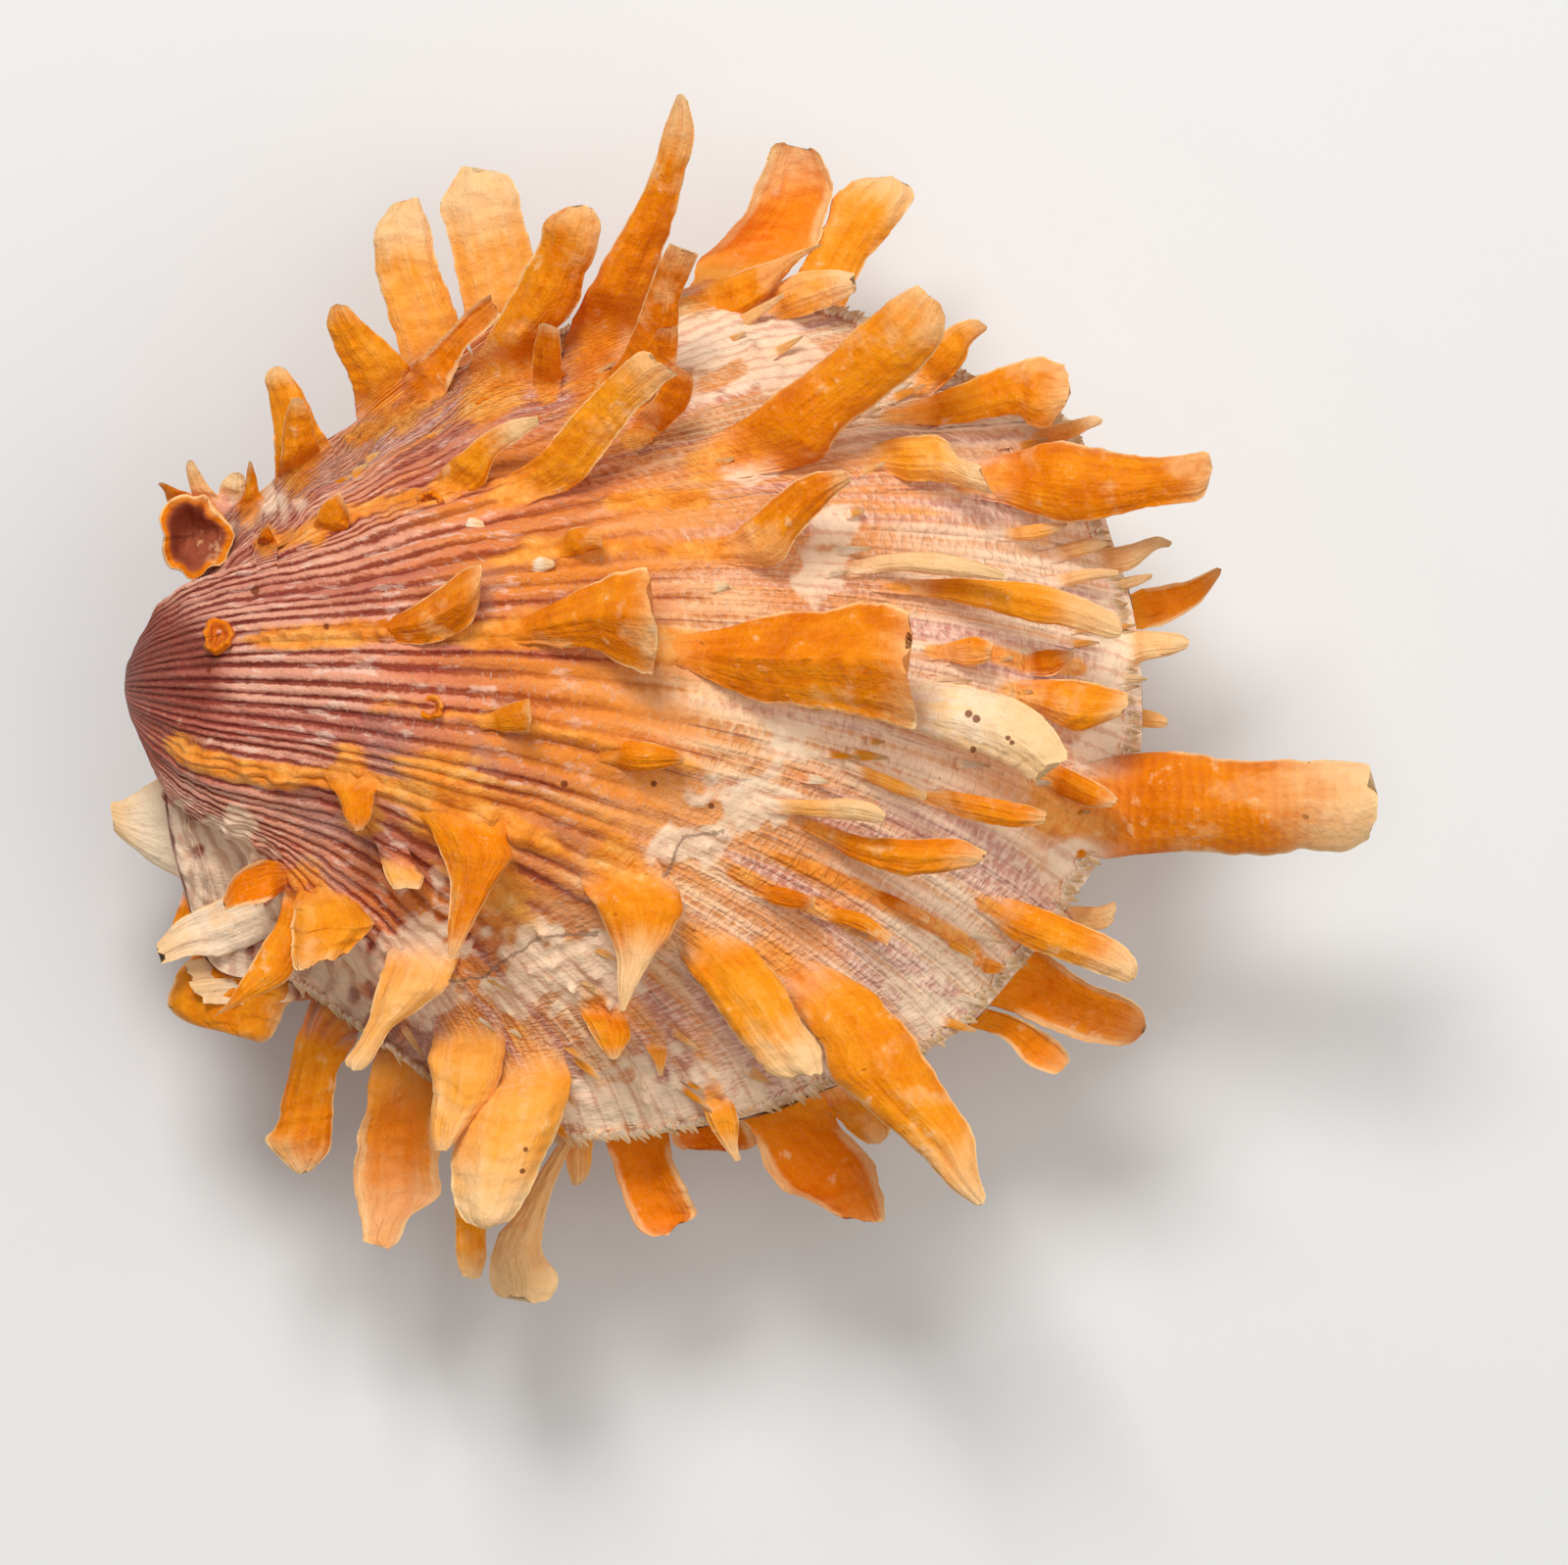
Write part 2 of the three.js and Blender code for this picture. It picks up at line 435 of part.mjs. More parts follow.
function upperValve() {
  const spines = allSpines([
    [UPPER_SCOOPS, SCOOP, true],
    [UPPER_FANGS, FANG, true],
    [UPPER_THORNS, THORN, true],
    [UPPER_TRUMPETS, TRUMPET, true],
    [UPPER_STUBS, STUB, true],
  ]);
  const full = valveSolid(upperPoint, UPPER_GRID, true).translate([0, 0, SEAM_Z]);
  const space = cavitySolid(upperPoint, UPPER_CAVITY_HEIGHT, -CAVITY_OVERLAP, true).translate([0, 0, SEAM_Z]);
  return joined(full, [...spines, earCup()]).subtract(space).subtract(blockBelow(SEAM_Z + SEAM_GAP / 2));
}

function lowerValve() {
  const spines = allSpines([[LOWER_SPINES, LOWER_SCOOP, false]]);
  const full = valveSolid(lowerPoint, LOWER_GRID, false).translate([0, 0, SEAM_Z]);
  const space = cavitySolid(lowerPoint, LOWER_CAVITY_DEPTH, CAVITY_OVERLAP, false).translate([0, 0, SEAM_Z]);
  const pieces = [lowerBeak(), ...spines, ...UNDERSIDE_SPINES.map(undersideSpine)];
  return joined(full, pieces).subtract(space).subtract(blockBelow(0));
}

function toMesh(solid, name, colour, roughness) {
  const { vertProperties, triVerts } = solid.getMesh();
  const geometry = new THREE.BufferGeometry();
  geometry.setAttribute('position', new THREE.Float32BufferAttribute(vertProperties, 3));
  geometry.setIndex(Array.from(triVerts));
  const material = new THREE.MeshStandardMaterial({ color: colour, roughness, metalness: 0 });
  const mesh = new THREE.Mesh(geometry, material);
  mesh.name = name;
  return mesh;
}

const shell = new THREE.Group();
shell.add(toMesh(upperValve(), 'upper_valve', 0xe0a070, 0.55));
shell.add(toMesh(lowerValve(), 'lower_valve', 0xe8b080, 0.6));

export default shell;
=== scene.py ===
import math

import bpy
import numpy as np
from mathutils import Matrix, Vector


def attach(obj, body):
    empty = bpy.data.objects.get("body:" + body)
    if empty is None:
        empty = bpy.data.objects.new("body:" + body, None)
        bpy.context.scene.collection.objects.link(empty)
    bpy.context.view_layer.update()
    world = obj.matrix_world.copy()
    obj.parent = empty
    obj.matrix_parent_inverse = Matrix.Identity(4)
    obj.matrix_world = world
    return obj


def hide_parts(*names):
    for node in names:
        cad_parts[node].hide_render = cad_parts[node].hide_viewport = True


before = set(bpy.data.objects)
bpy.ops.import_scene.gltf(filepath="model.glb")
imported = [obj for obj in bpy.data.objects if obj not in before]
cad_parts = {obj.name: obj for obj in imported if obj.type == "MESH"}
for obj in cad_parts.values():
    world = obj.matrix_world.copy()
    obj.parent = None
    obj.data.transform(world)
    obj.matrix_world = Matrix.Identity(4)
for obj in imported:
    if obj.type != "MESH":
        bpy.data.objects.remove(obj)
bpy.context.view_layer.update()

# The shell in millimetres, as it is built: the beaks point along -X and the valves meet at SEAM_Z
MM = 0.001
BEAK_X = -50.0
SEAM_Z = 30.0
SEAM_GAP = 0.3
FULL_WIDTH = 101.5              # from the hinge line to the free edge
UPPER_SPIRAL = 0.682            # how fast the upper valve turns about its hinge as it grows
MAX_TURN = 2.3
MOST_SQUEEZE = 1.45             # turn in radians past which a spot can't be found from above
UMBO_WIDENING = 0.6             # the beak of the upper valve is wider than even growth makes it
UMBO_STAGE = 0.4
LOWER_DEPTH = 34.0
LOWER_FULLNESS = 0.6            # below 1 the bowl of the lower valve is fuller than a parabola
LOWER_SIDE_FALL = 0.45
EAR_FADE = 0.065                # share of the outline over which the valves flatten into their ears
STAGE_RANGE = (0.02, 1.6)
STAGE_HALVINGS = 34

# The riblets, and how they lean over between the beak and the edge
RIBLETS = 60                    # riblets round the edge of the young shell, doubled outwards
RIBLET_HEIGHT = 0.34
DOUBLING = (0.52, 0.74)         # growth stages between which a new riblet starts between each two
LEAN_DEGREES = 14.0
LEAN_POWER = 1.6
PAST_BEAK_SPREAD = 0.18
RIB_WANDER = ((0.0035, 6.3, 0), (0.0016, 17, 1))        # size, waves round the outline, start

# Outline of both valves, from the front ear round the free edge to the back ear, measured from the beaks
EDGE_POINTS = np.array([
    (6.5, 15.5), (15, 23), (20, 26.5), (30, 31.5), (41, 36), (55, 40), (72, 38.5), (85, 31.5),
    (94.5, 27), (98, 17), (100.5, 8), (101.5, 0), (101, -9), (97, -18), (89.5, -28.5), (82, -36),
    (70, -41), (59, -44.5), (45, -46.5), (35, -44), (23, -36), (15, -30.5), (6.5, -28.5), (3, -17),
], float)

# The skins: steps round the outline and of growth, and the lining inside
UPPER_SKIN_STEPS = (430, 200)
LOWER_SKIN_STEPS = (300, 110)
LINING_ROWS = 8
WALL = 2.6                      # thickness of the valves away from their edges
LEAST_WALL = 0.35
FLOOR_WALL = 1.6                # what is left over the flat scar
GROWTH_STEPS = 7.3              # coarse steps of growth between the beak and the edge, and their height
GROWTH_STEP_HEIGHT = 0.16
CHALK_LUMP_HEIGHT = 0.13
SKIN_WAVES = ((16, 1.7, 0.1), (11, 22.0, 0.5), (12, 6.0, 0.12))        # seed, length, height
SMALL_STEP = 1e-3

# The spines: how they start inside the valve and hang, and how thick their plates are
SPINE_SAG = 0.12                # how far a spine of the upper valve hangs in its middle, as a share of its length
UPPER_LEAD = 0.9                # buried start of a spine as a share of its root's width
UPPER_LEAD_MORE = 1.2
LONGEST_LEAD = 6.0
LOWER_LEAD = 1.5
BODY_LIMIT = 0.955              # growth stage that the buried start of a lower spine reaches
LOWER_ROOT_DROP = 5.0           # the lower valve's spines leave at most and at least this far under the seam
LEAST_ROOT_DROP = 2.8
PLATE_THICKNESS = 0.75
BITES = (1, 2, 3, 5, 8)         # waves across a broken tip


# The valves' outline and growth
def smooth(low, high, value):
    share = np.clip((np.asarray(value, float) - low) / (high - low), 0, 1)
    return share * share * (3 - 2 * share)


def unit(rows):
    return rows / np.maximum(np.linalg.norm(rows, axis=-1, keepdims=True), 1e-9)


def through(points, place):
    """A smooth curve through the points. place counts them: 1.5 is halfway from the second to the third."""
    knots = np.vstack([2 * points[0] - points[1], points, 2 * points[-1] - points[-2]])
    k = np.clip(place.astype(int), 0, len(points) - 2)
    u = (place - k)[:, None]
    a, b, c, d = knots[k], knots[k + 1], knots[k + 2], knots[k + 3]
    return 0.5 * (2 * b + (c - a) * u + (2 * a - 5 * b + 4 * c - d) * u ** 2 + (3 * b - a - 3 * c + d) * u ** 3)


def edge_curve(samples=3000):
    """The outline as a smooth curve: points and their share of its length."""
    points = through(EDGE_POINTS, np.linspace(0, len(EDGE_POINTS) - 1, samples))
    steps = np.hypot(*np.diff(points, axis=0).T)
    return points, np.concatenate([[0], np.cumsum(steps)]) / steps.sum()


EDGE, EDGE_SHARE = edge_curve()
EDGE_ANGLE = np.unwrap(np.arctan2(EDGE[:, 1], EDGE[:, 0]))
EDGE_REACH = np.hypot(EDGE[:, 0], EDGE[:, 1])


def edge_at(t):
    return np.stack([np.interp(t, EDGE_SHARE, EDGE[:, 0]), np.interp(t, EDGE_SHARE, EDGE[:, 1])], -1)


def ear_fade(t):
    return smooth(0, EAR_FADE, np.minimum(t, 1 - t))


def turn_at(stage):
    return np.minimum(UPPER_SPIRAL * np.log(1 / np.maximum(stage, 1e-6)), MAX_TURN)


def widened(stage):
    """Growth stage as the upper valve's width knows it: its beak is fuller than the rest."""
    return stage * (1 + UMBO_WIDENING * (1 - smooth(0, UMBO_STAGE, stage)))


def upper_point(stage, t):
    rim = edge_at(t)
    turn = turn_at(stage)
    x = BEAK_X + stage * np.cos(turn) * rim[..., 0]
    y = widened(stage) * rim[..., 1]
    z = SEAM_Z + SEAM_GAP / 2 + stage * np.sin(turn) * rim[..., 0] * ear_fade(t)
    return np.stack([x, y, z], -1)


def lower_point(stage, t):
    rim = edge_at(t)
    bowl = np.maximum(4 * stage * (1 - stage), 0) ** LOWER_FULLNESS
    side = (rim[..., 0] / FULL_WIDTH) ** LOWER_SIDE_FALL * ear_fade(t)
    z = SEAM_Z - SEAM_GAP / 2 - LOWER_DEPTH * bowl * side
    return np.stack([BEAK_X + stage * rim[..., 0], stage * rim[..., 1], z], -1)


def stage_at(x, y, is_upper):
    """Growth stage and outline share of a spot seen from above."""
    x, y = np.broadcast_arrays(np.asarray(x, float), np.asarray(y, float))
    low, high = (np.full(x.shape, end) for end in STAGE_RANGE)
    for _ in range(STAGE_HALVINGS):
        stage = (low + high) / 2
        squeeze = np.cos(np.clip(turn_at(stage), 0, MOST_SQUEEZE)) if is_upper else 1.0
        dx, dy = (x - BEAK_X) / (stage * squeeze), y / (widened(stage) if is_upper else stage)
        angle = np.arctan2(dy, dx)
        reach = np.interp(-angle, -EDGE_ANGLE, EDGE_REACH)
        outside = np.hypot(dx, dy) > reach
        low, high = np.where(outside, stage, low), np.where(outside, high, stage)
    return low, np.interp(-angle, -EDGE_ANGLE, EDGE_SHARE)


def ground(plan, is_upper=True):
    """Height of a valve under spots seen from above, or of the seam beyond its edge."""
    stage, t = stage_at(plan[:, 0], plan[:, 1], is_upper)
    return (upper_point if is_upper else lower_point)(np.minimum(stage, 1), t)[:, 2]


def rib_coordinate(stage, t):
    """Which riblet a spot is on, as a share of the outline, with the lean of the ribs."""
    angle = np.interp(t, EDGE_SHARE, EDGE_ANGLE)
    lean = math.radians(LEAN_DEGREES) * (1 - np.clip(stage, 0, 1.2) ** LEAN_POWER)
    base = np.interp(-(angle - lean), -EDGE_ANGLE, EDGE_SHARE)
    even = base + np.maximum(EDGE_ANGLE[-1] - (angle - lean), 0) * PAST_BEAK_SPREAD
    rib = even
    for size, waves, start in RIB_WANDER:
        rib = rib + size * np.sin(2 * math.pi * waves * even + start)
    return rib


# Seeded smooth noise, the same on every run
class Ripple:
    """A sum of seeded sine waves in space, from -1 to 1 or so."""

    def __init__(self, seed, wavelength, waves=10):
        draw = np.random.default_rng(seed)
        direction = draw.normal(size=(waves, 3))
        direction /= np.linalg.norm(direction, axis=1)[:, None]
        self.wave = direction * (2 * math.pi / (wavelength * draw.uniform(0.6, 1.6, waves)))[:, None]
        self.phase = draw.uniform(0, 2 * math.pi, waves)

    def __call__(self, points):
        return np.sin(points @ self.wave.T + self.phase).sum(-1) / math.sqrt(len(self.phase)) / 1.2


# Spines by form. Each is its name, rise from root to tip, tone from deep orange 0 to cream 1, the share
# of its length that is pale at the tip, and its outline seen from above, from root to tip, as pairs of
# points on its two sides: (x, y, other x, other y).
UPPER_SPINES = {
    "scoop": [
        ("front_ear_horn", 5, 0.15, 0.05, [
            (-36.8, 20, -32, 22.5), (-36.3, 24, -32.8, 25.2), (-35.9, 27.5, -33.4, 27.6),
            (-35.1, 29.5, -34.3, 29.4)]),
        ("back_ear_horn", 2.5, 0.25, 0.1, [
            (-37, 19.5, -30.8, 23.5), (-37, 24, -32.3, 26), (-37.5, 29, -34, 29.8), (-38, 31.5, -35.2, 31.5),
            (-37.2, 32.7, -36, 32.7)]),
        ("forked_horn", 6, 0.2, 0.05, [
            (-28.6, 27, -22.5, 30), (-29.2, 31, -23.5, 33), (-30.6, 34, -26.2, 35.7), (-31.6, 37, -28.2, 37.4),
            (-31.2, 38.9, -29.9, 39.2)]),
        ("broad_top_spine", 9, 0.15, 0.06, [
            (-18.5, 30, -10, 29), (-15.8, 34.5, -9.6, 34.5), (-12.8, 39.8, -6.6, 38), (-10.1, 44.2, -5, 42.3),
            (-9.3, 47, -3.8, 46.2), (-6.8, 49, -4.6, 48.8)]),
        ("tall_thorn", 12, 0.12, 0.1, [
            (-8, 32, -1.5, 31), (-6.4, 37.5, 0, 37), (-3.3, 43, 2.2, 43), (-0.3, 48.3, 3.8, 47.6),
            (1.8, 53, 5, 52), (3, 57, 5.9, 55.5), (4.2, 60, 5.1, 60)]),
        ("brown_top_spine", 11, 0.1, 0.03, [
            (-6, 29.5, -4.5, 26.5), (-1.8, 33, 0.5, 30.5), (0.4, 37.5, 3.8, 35), (2, 42, 4.6, 39.8),
            (3.4, 44.9, 6.5, 43.9)]),
        ("small_brown_spine", 8, 0.1, 0.05, [(-1, 29, 1.5, 28.5), (0.8, 33.3, 3.8, 32), (2.4, 36.4, 4.3, 36.5)]),
        ("behind_patched_spine", 6, 0.05, 0.02, [(-1, 26.5, 1, 24.5), (2, 29.5, 5, 28), (3.5, 32.8, 6, 31.5)]),
        ("cream_tip_spine", 6, 0.2, 0.35, [
            (-21.5, 20.3, -18.8, 18.4), (-18.5, 23, -15.6, 20.4), (-15.3, 25.6, -14.2, 23.2),
            (-12.3, 26.9, -12, 24.8), (-9.9, 27.2, -9.6, 26.6)]),
        ("upper_edge_spine", 5, 0.18, 0.1, [
            (4.6, 40.6, 6, 36.8), (9.5, 42.1, 10.5, 37.8), (13.5, 43.3, 13.2, 39.8), (16.5, 44.4, 15.5, 42.8),
            (18.9, 45.2, 18.8, 44.9)]),
        ("great_scoop", 9, 0.15, 0.04, [
            (5.5, 24.6, 10, 21), (11, 27.3, 18, 22.6), (15.5, 30.6, 20.6, 25.6), (20.5, 34.5, 26, 30),
            (25, 38.4, 30.3, 33.8), (29, 40.7, 31.6, 38.6)]),
        ("right_top_thorn", 4, 0.25, 0.15, [
            (28, 31, 30, 29.5), (30.7, 35.6, 33.3, 32.9), (33.3, 37.2, 34, 34.9), (35.2, 37.3, 35.9, 36.5)]),
        ("long_side_spine", 6, 0.12, 0.02, [
            (33.5, 22.8, 34, 19.3), (38.5, 23.8, 38.5, 18.5), (44, 24.8, 43, 16.8), (49, 23.5, 48, 17.3),
            (54.5, 23.4, 53, 18.4), (57.8, 23.7, 57, 18.8), (58.6, 22.4, 58.5, 20.6)]),
        ("next_to_pitted", 3, 0.2, 0.1, [
            (38, 0.6, 40, -2.4), (43, 0.6, 43, -4), (47, 0.2, 45.5, -4.5), (50.5, -1, 49.5, -3)]),
        ("below_pitted", 3, 0.15, 0.1, [
            (42, -7.5, 41.5, -10), (45, -9, 44, -11.6), (47.8, -10.5, 46, -12.3), (49.3, -11.7, 48.4, -12.4)]),
        ("orange_row_spine", 3.5, 0.25, 0.22, [
            (26, 10.8, 26, 9.4), (33, 10.8, 33, 8.4), (39.5, 10.5, 39, 6.7), (44.5, 9.3, 44, 5.8),
            (48.6, 7.3, 48.3, 4.8), (49.5, 5.8, 49.3, 5.1)]),
        ("patch_brown_scoop", 6, 0.1, 0.03, [
            (7.5, 14.5, 8, 12.5), (11, 16.3, 13.9, 12), (14.5, 19.6, 16.2, 15), (18, 21.5, 18.8, 18),
            (21.4, 21.7, 21.8, 20.6)]),
        ("row_spine_low", 2.5, 0.2, 0.05, [
            (29.5, -10.6, 30, -12.3), (34, -11, 34, -13.6), (39, -12, 38, -14.4), (42, -13, 41.5, -14)]),
        ("lower_right_spine", 3, 0.2, 0.25, [
            (35.5, -21, 35.5, -23.5), (40, -22.3, 38.5, -26), (45, -24.2, 43, -27.8), (49, -26, 47, -29.2),
            (50.9, -28, 49.5, -30.1), (50.9, -29.8, 50.3, -30.3)]),
        ("great_lower_spine", 6, 0.2, 0.12, [
            (15, -27.2, 12.5, -28), (21, -29.2, 15.6, -32.4), (25.3, -32.5, 18.4, -36), (28.6, -36.2, 20, -40),
            (31.2, -41, 24, -43.6), (33.8, -45, 28, -46.8), (34.6, -49, 31.8, -50.8), (35.6, -52.3, 34.7, -53)]),
        ("lower_pale_scoop", 6, 0.28, 0.25, [
            (8, -24.3, 3.5, -25.5), (11.8, -26.8, 5.5, -29), (14.5, -30, 8.5, -33), (16.8, -34, 11.2, -36.8),
            (18.6, -36.5, 13.8, -39.4), (18.9, -39.5, 16.5, -40)]),
        ("left_pointed_lobe", 5, 0.18, 0.05, [
            (-32, -20.5, -36, -19.5), (-33.5, -25, -36.3, -23.3), (-35.2, -29.6, -38, -26.4),
            (-38, -31.3, -39.8, -29.3), (-40.8, -32.6, -41.4, -32), (-43, -33.7, -43.2, -33.9)]),
        ("pale_lower_horn", 4, 0.45, 0.15, [
            (-17.5, -26, -25, -25.5), (-19.3, -30.5, -26, -29.5), (-22, -32.8, -26.8, -33), (-25, -35, -28, -35.8),
            (-27, -38.2, -29.4, -38), (-28.2, -39.3, -29.2, -38.9)]),
        ("bottom_twin_left", 3, 0.42, 0.08, [
            (-13.5, -33.5, -20.5, -34), (-13.5, -38.5, -21.2, -38), (-15.2, -42.6, -20.9, -42),
            (-17, -44.3, -21, -45.5), (-18.8, -46.9, -20.2, -48)]),
        ("bottom_twin_right", 5, 0.45, 0.25, [
            (-7.5, -36, -16, -37), (-6.8, -41, -17.2, -42), (-8, -45.5, -18.5, -46.5), (-10.2, -50, -18.6, -50.5),
            (-12.4, -54, -17.8, -53.8), (-14, -55.2, -16.3, -55.3)]),
    ],
    "cut": [
        ("patched_spine", 9, 0.2, 0.1, [
            (-15, 20.3, -10.5, 18.5), (-10, 23.2, -6, 20.4), (-6.6, 27, -2.6, 24.5), (-3.4, 30.3, -0.3, 27.3),
            (0, 33.4, 2.3, 29.8), (2, 33.6, 4.3, 31.3)]),
        ("upper_edge_ragged", 5, 0.4, 0.25, [
            (11.5, 39.5, 13, 37), (15.5, 41.8, 17.5, 38), (19.5, 42.6, 20.5, 39.2), (22.6, 42, 22.4, 40.2)]),
        ("curled_scoop", 5, 0.2, 0.06, [
            (26.5, 28.5, 27, 26.8), (31, 30, 31.5, 26.6), (35.5, 31.8, 36, 27.3), (38.5, 32.8, 38.8, 27.6),
            (41, 33.3, 40.6, 26.2), (44.2, 32.4, 44.4, 27.2)]),
        ("short_ragged_scoop", 4, 0.4, 0.3, [
            (22.5, 24.6, 24.5, 21.8), (27, 25.2, 28, 20.8), (31, 25.2, 31.5, 20.5), (33, 23.2, 34, 20),
            (35.3, 22.6, 36.3, 19.4)]),
        ("pitted_scoop", 3, 0.95, 0.4, [
            (24, 0.5, 24, -3.2), (30, 0.3, 29, -5), (35, -0.4, 34, -6.6), (39, -1.7, 37.5, -8),
            (42, -4.2, 39.8, -9.4), (43.9, -7.2, 41.2, -9.8)]),
        ("ragged_row_spine", 3, 0.15, 0.1, [
            (17.5, -13.6, 18, -15.2), (22.5, -15.2, 22.5, -17.8), (28, -15.6, 27, -19.2), (32.5, -15.6, 31, -19),
            (35.6, -17, 35.2, -18.2)]),
        ("left_double_lobe", 4, 0.26, 0.05, [
            (-31, -20, -34.5, -19.5), (-28.2, -22.2, -34.8, -22.5), (-26.8, -24.2, -35, -25),
            (-28.6, -26.4, -35, -27), (-30, -28.4, -34.8, -29)]),
    ],
    "gutter": [
        ("hollow_top_spine", 7, 0.1, 0.04, [
            (-25, 29.8, -21, 26.5), (-22, 33.5, -19, 31), (-19, 36.4, -17.5, 34.3), (-16.5, 38.9, -15.2, 36.3),
            (-14.8, 40, -13.7, 38)]),
        ("left_curl_scoop", 4, 0.08, 0.05, [
            (-35, -20.2, -35, -18.2), (-37.5, -21.8, -38, -17.8), (-40, -22.4, -40.8, -19.2),
            (-41.8, -22.8, -42.2, -22.2)]),
    ],
    "fang": [
        ("middle_fang", 5, 0.15, 0.45, [
            (2.5, -18.2, -6, -18.5), (4.3, -21.5, -5, -21), (4, -24.5, -3.3, -24), (1.8, -27.5, -1.9, -27.5),
            (0, -30.5, -1.8, -30.5), (-1.1, -33, -1.6, -33)]),
        ("left_fang", 5, 0.12, 0.06, [
            (-13, -12.2, -25, -11), (-13.2, -15.3, -21, -14.2), (-12.4, -17.2, -19.5, -17.5),
            (-14.2, -20, -18.9, -20.5), (-16.4, -24, -18.9, -24), (-18.2, -27.6, -19, -27.6)]),
        ("first_fang", 3, 0.1, 0.03, [
            (-25.6, -9.3, -31.5, -9), (-26.3, -11, -30.2, -11.5), (-26.7, -13, -29.4, -13.2),
            (-27.7, -14.7, -28.3, -14.8)]),
        ("bottom_small_fang", 2, 0.25, 0.1, [
            (-1.5, -33, -6.2, -32.3), (-0.6, -35.5, -4.8, -34.8), (-1.2, -36.8, -3.6, -36.8), (-2, -38, -2.7, -38)]),
        ("bottom_tiny_fang", 2, 0.35, 0.2, [(3, -36.5, 0.5, -36.2), (3, -38, 1.6, -38), (2.6, -39.8, 2.3, -39.8)]),
        ("bottom_right_fang", 1, 0.25, 0.3, [
            (9.5, -41.5, 6, -41.5), (10.4, -44.5, 7.5, -45), (10.3, -47, 9, -47.3), (10.6, -48.4, 10, -48.6)]),
        ("row_scale", 2.4, 0.08, 0.02, [(-33.2, 15.5, -31, 15), (-32, 18, -29.3, 16), (-30, 19.6, -29.2, 17.5)]),
        ("right_row_scale", 1.5, 0.08, 0.05, [(30.5, 4, 31, 2.6), (34, 5, 34, 2), (36.2, 4.4, 36, 2.6)]),
        ("right_row_thorn", 2, 0.15, 0.2, [(39.5, 3.2, 40, 1), (42, 3.7, 42.5, 1.2), (44.6, 3.5, 44.5, 2.8)]),
        ("small_arch", 1.6, 0.45, 0.2, [
            (-26, -17, -22.4, -18.2), (-25.4, -19, -21.6, -19.4), (-24.6, -20.7, -22, -20.7)]),
        ("low_row_scale", 1.5, 0.15, 0.05, [
            (19, -22.4, 19, -23.8), (23, -23.2, 22.5, -24.8), (26, -25.3, 25.5, -26.5)]),
        ("low_row_first", 1.2, 0.05, 0.05, [
            (12.5, -20.2, 12.5, -21.6), (15.5, -20.6, 15.3, -22.6), (18.2, -21.6, 18, -22.6)]),
        ("low_row_mid", 1.2, 0.1, 0.1, [(24, -20.6, 24, -21.6), (27, -21.8, 26.8, -23), (29.8, -23.6, 29.6, -24.3)]),
        ("low_row_small", 1.2, 0.3, 0.1, [
            (31, -25.4, 31, -26.2), (33, -26.2, 33, -27.2), (34.6, -27.3, 34.4, -27.9)]),
        ("low_row_last", 1.2, 0.2, 0.1, [
            (34.8, -27.6, 34.8, -29), (36.3, -28, 36, -29.4), (37.6, -28.6, 37.4, -29.2)]),
    ],
    "thorn": [
        ("ear_cup_spike", 3, 0.15, 0.1, [
            (-47.8, 18.5, -45.2, 19.5), (-48.4, 19.9, -46.8, 20.1), (-49, 20.7, -48.6, 20.9)]),
        ("ear_cream_spike", 3, 0.75, 0.2, [
            (-45, 18.5, -42, 18.5), (-45.8, 20.5, -43.8, 20.4), (-46.1, 22.3, -44.9, 22.2),
            (-45.9, 23.1, -45.4, 23.1)]),
        ("ear_saddle", 2, 0.9, 0.2, [(-43, 19.5, -40, 18.5), (-42.3, 21, -40.1, 20.5), (-41.4, 21.9, -40.3, 21.8)]),
        ("ear_small_thorn", 3, 0.15, 0.1, [
            (-41.5, 17.5, -38, 18.5), (-40.3, 19.5, -38.7, 20), (-40, 21.5, -39, 21.5), (-39.7, 23, -39.4, 23)]),
        ("beak_thorn", 1.5, 0.05, 0.0, [
            (-38.7, 14.3, -36.6, 14), (-38.4, 15.4, -37, 15.2), (-37.8, 16.4, -37.5, 16.3)]),
        ("pale_thorn_a", 3, 0.5, 0.3, [
            (40, 26.2, 39.5, 24.6), (44, 27, 44, 25.2), (46.5, 27.6, 46.2, 26.2), (47.6, 27.2, 47.4, 26.7)]),
        ("pale_thorn_b", 3, 0.7, 0.4, [
            (46, 14, 47.5, 11.4), (50, 14.4, 50.5, 12), (53, 15.3, 53, 13.9), (54.7, 14.7, 54.4, 14.2)]),
        ("pale_thorn_c", 2, 0.85, 0.4, [(48.5, 10.8, 49, 9.8), (51.3, 11.4, 51, 10.2), (52.7, 11.5, 52.6, 11)]),
        ("pale_thorn_d", 2, 0.7, 0.4, [(42, 14, 43.5, 12.8), (46, 15.1, 46.5, 13.6), (48, 14.8, 48, 14.3)]),
        ("pale_thorn_e", 2, 0.75, 0.4, [(42.5, 11.3, 43, 9.9), (46, 12, 46.3, 10.7), (49.2, 11.8, 49, 11.2)]),
        ("pale_scale", 2, 0.5, 0.3, [(37.5, 16, 37.5, 14.8), (40.5, 16.5, 41, 15), (44, 16.6, 43.8, 16.2)]),
        ("row_thorn", 2, 0.4, 0.2, [(22, -7.8, 22.5, -9.2), (26, -9.3, 26, -10.8), (29.6, -11, 29.3, -11.7)]),
        ("white_arch", 4.5, 0.85, 0.6, [
            (21.5, 12.6, 22, 11), (26, 13.4, 26, 11.6), (31, 13.4, 30, 11.3), (35, 12.4, 34.5, 10.9),
            (37.5, 11.4, 37.3, 10.6)]),
        ("cream_rod", 3.5, 0.5, 0.55, [
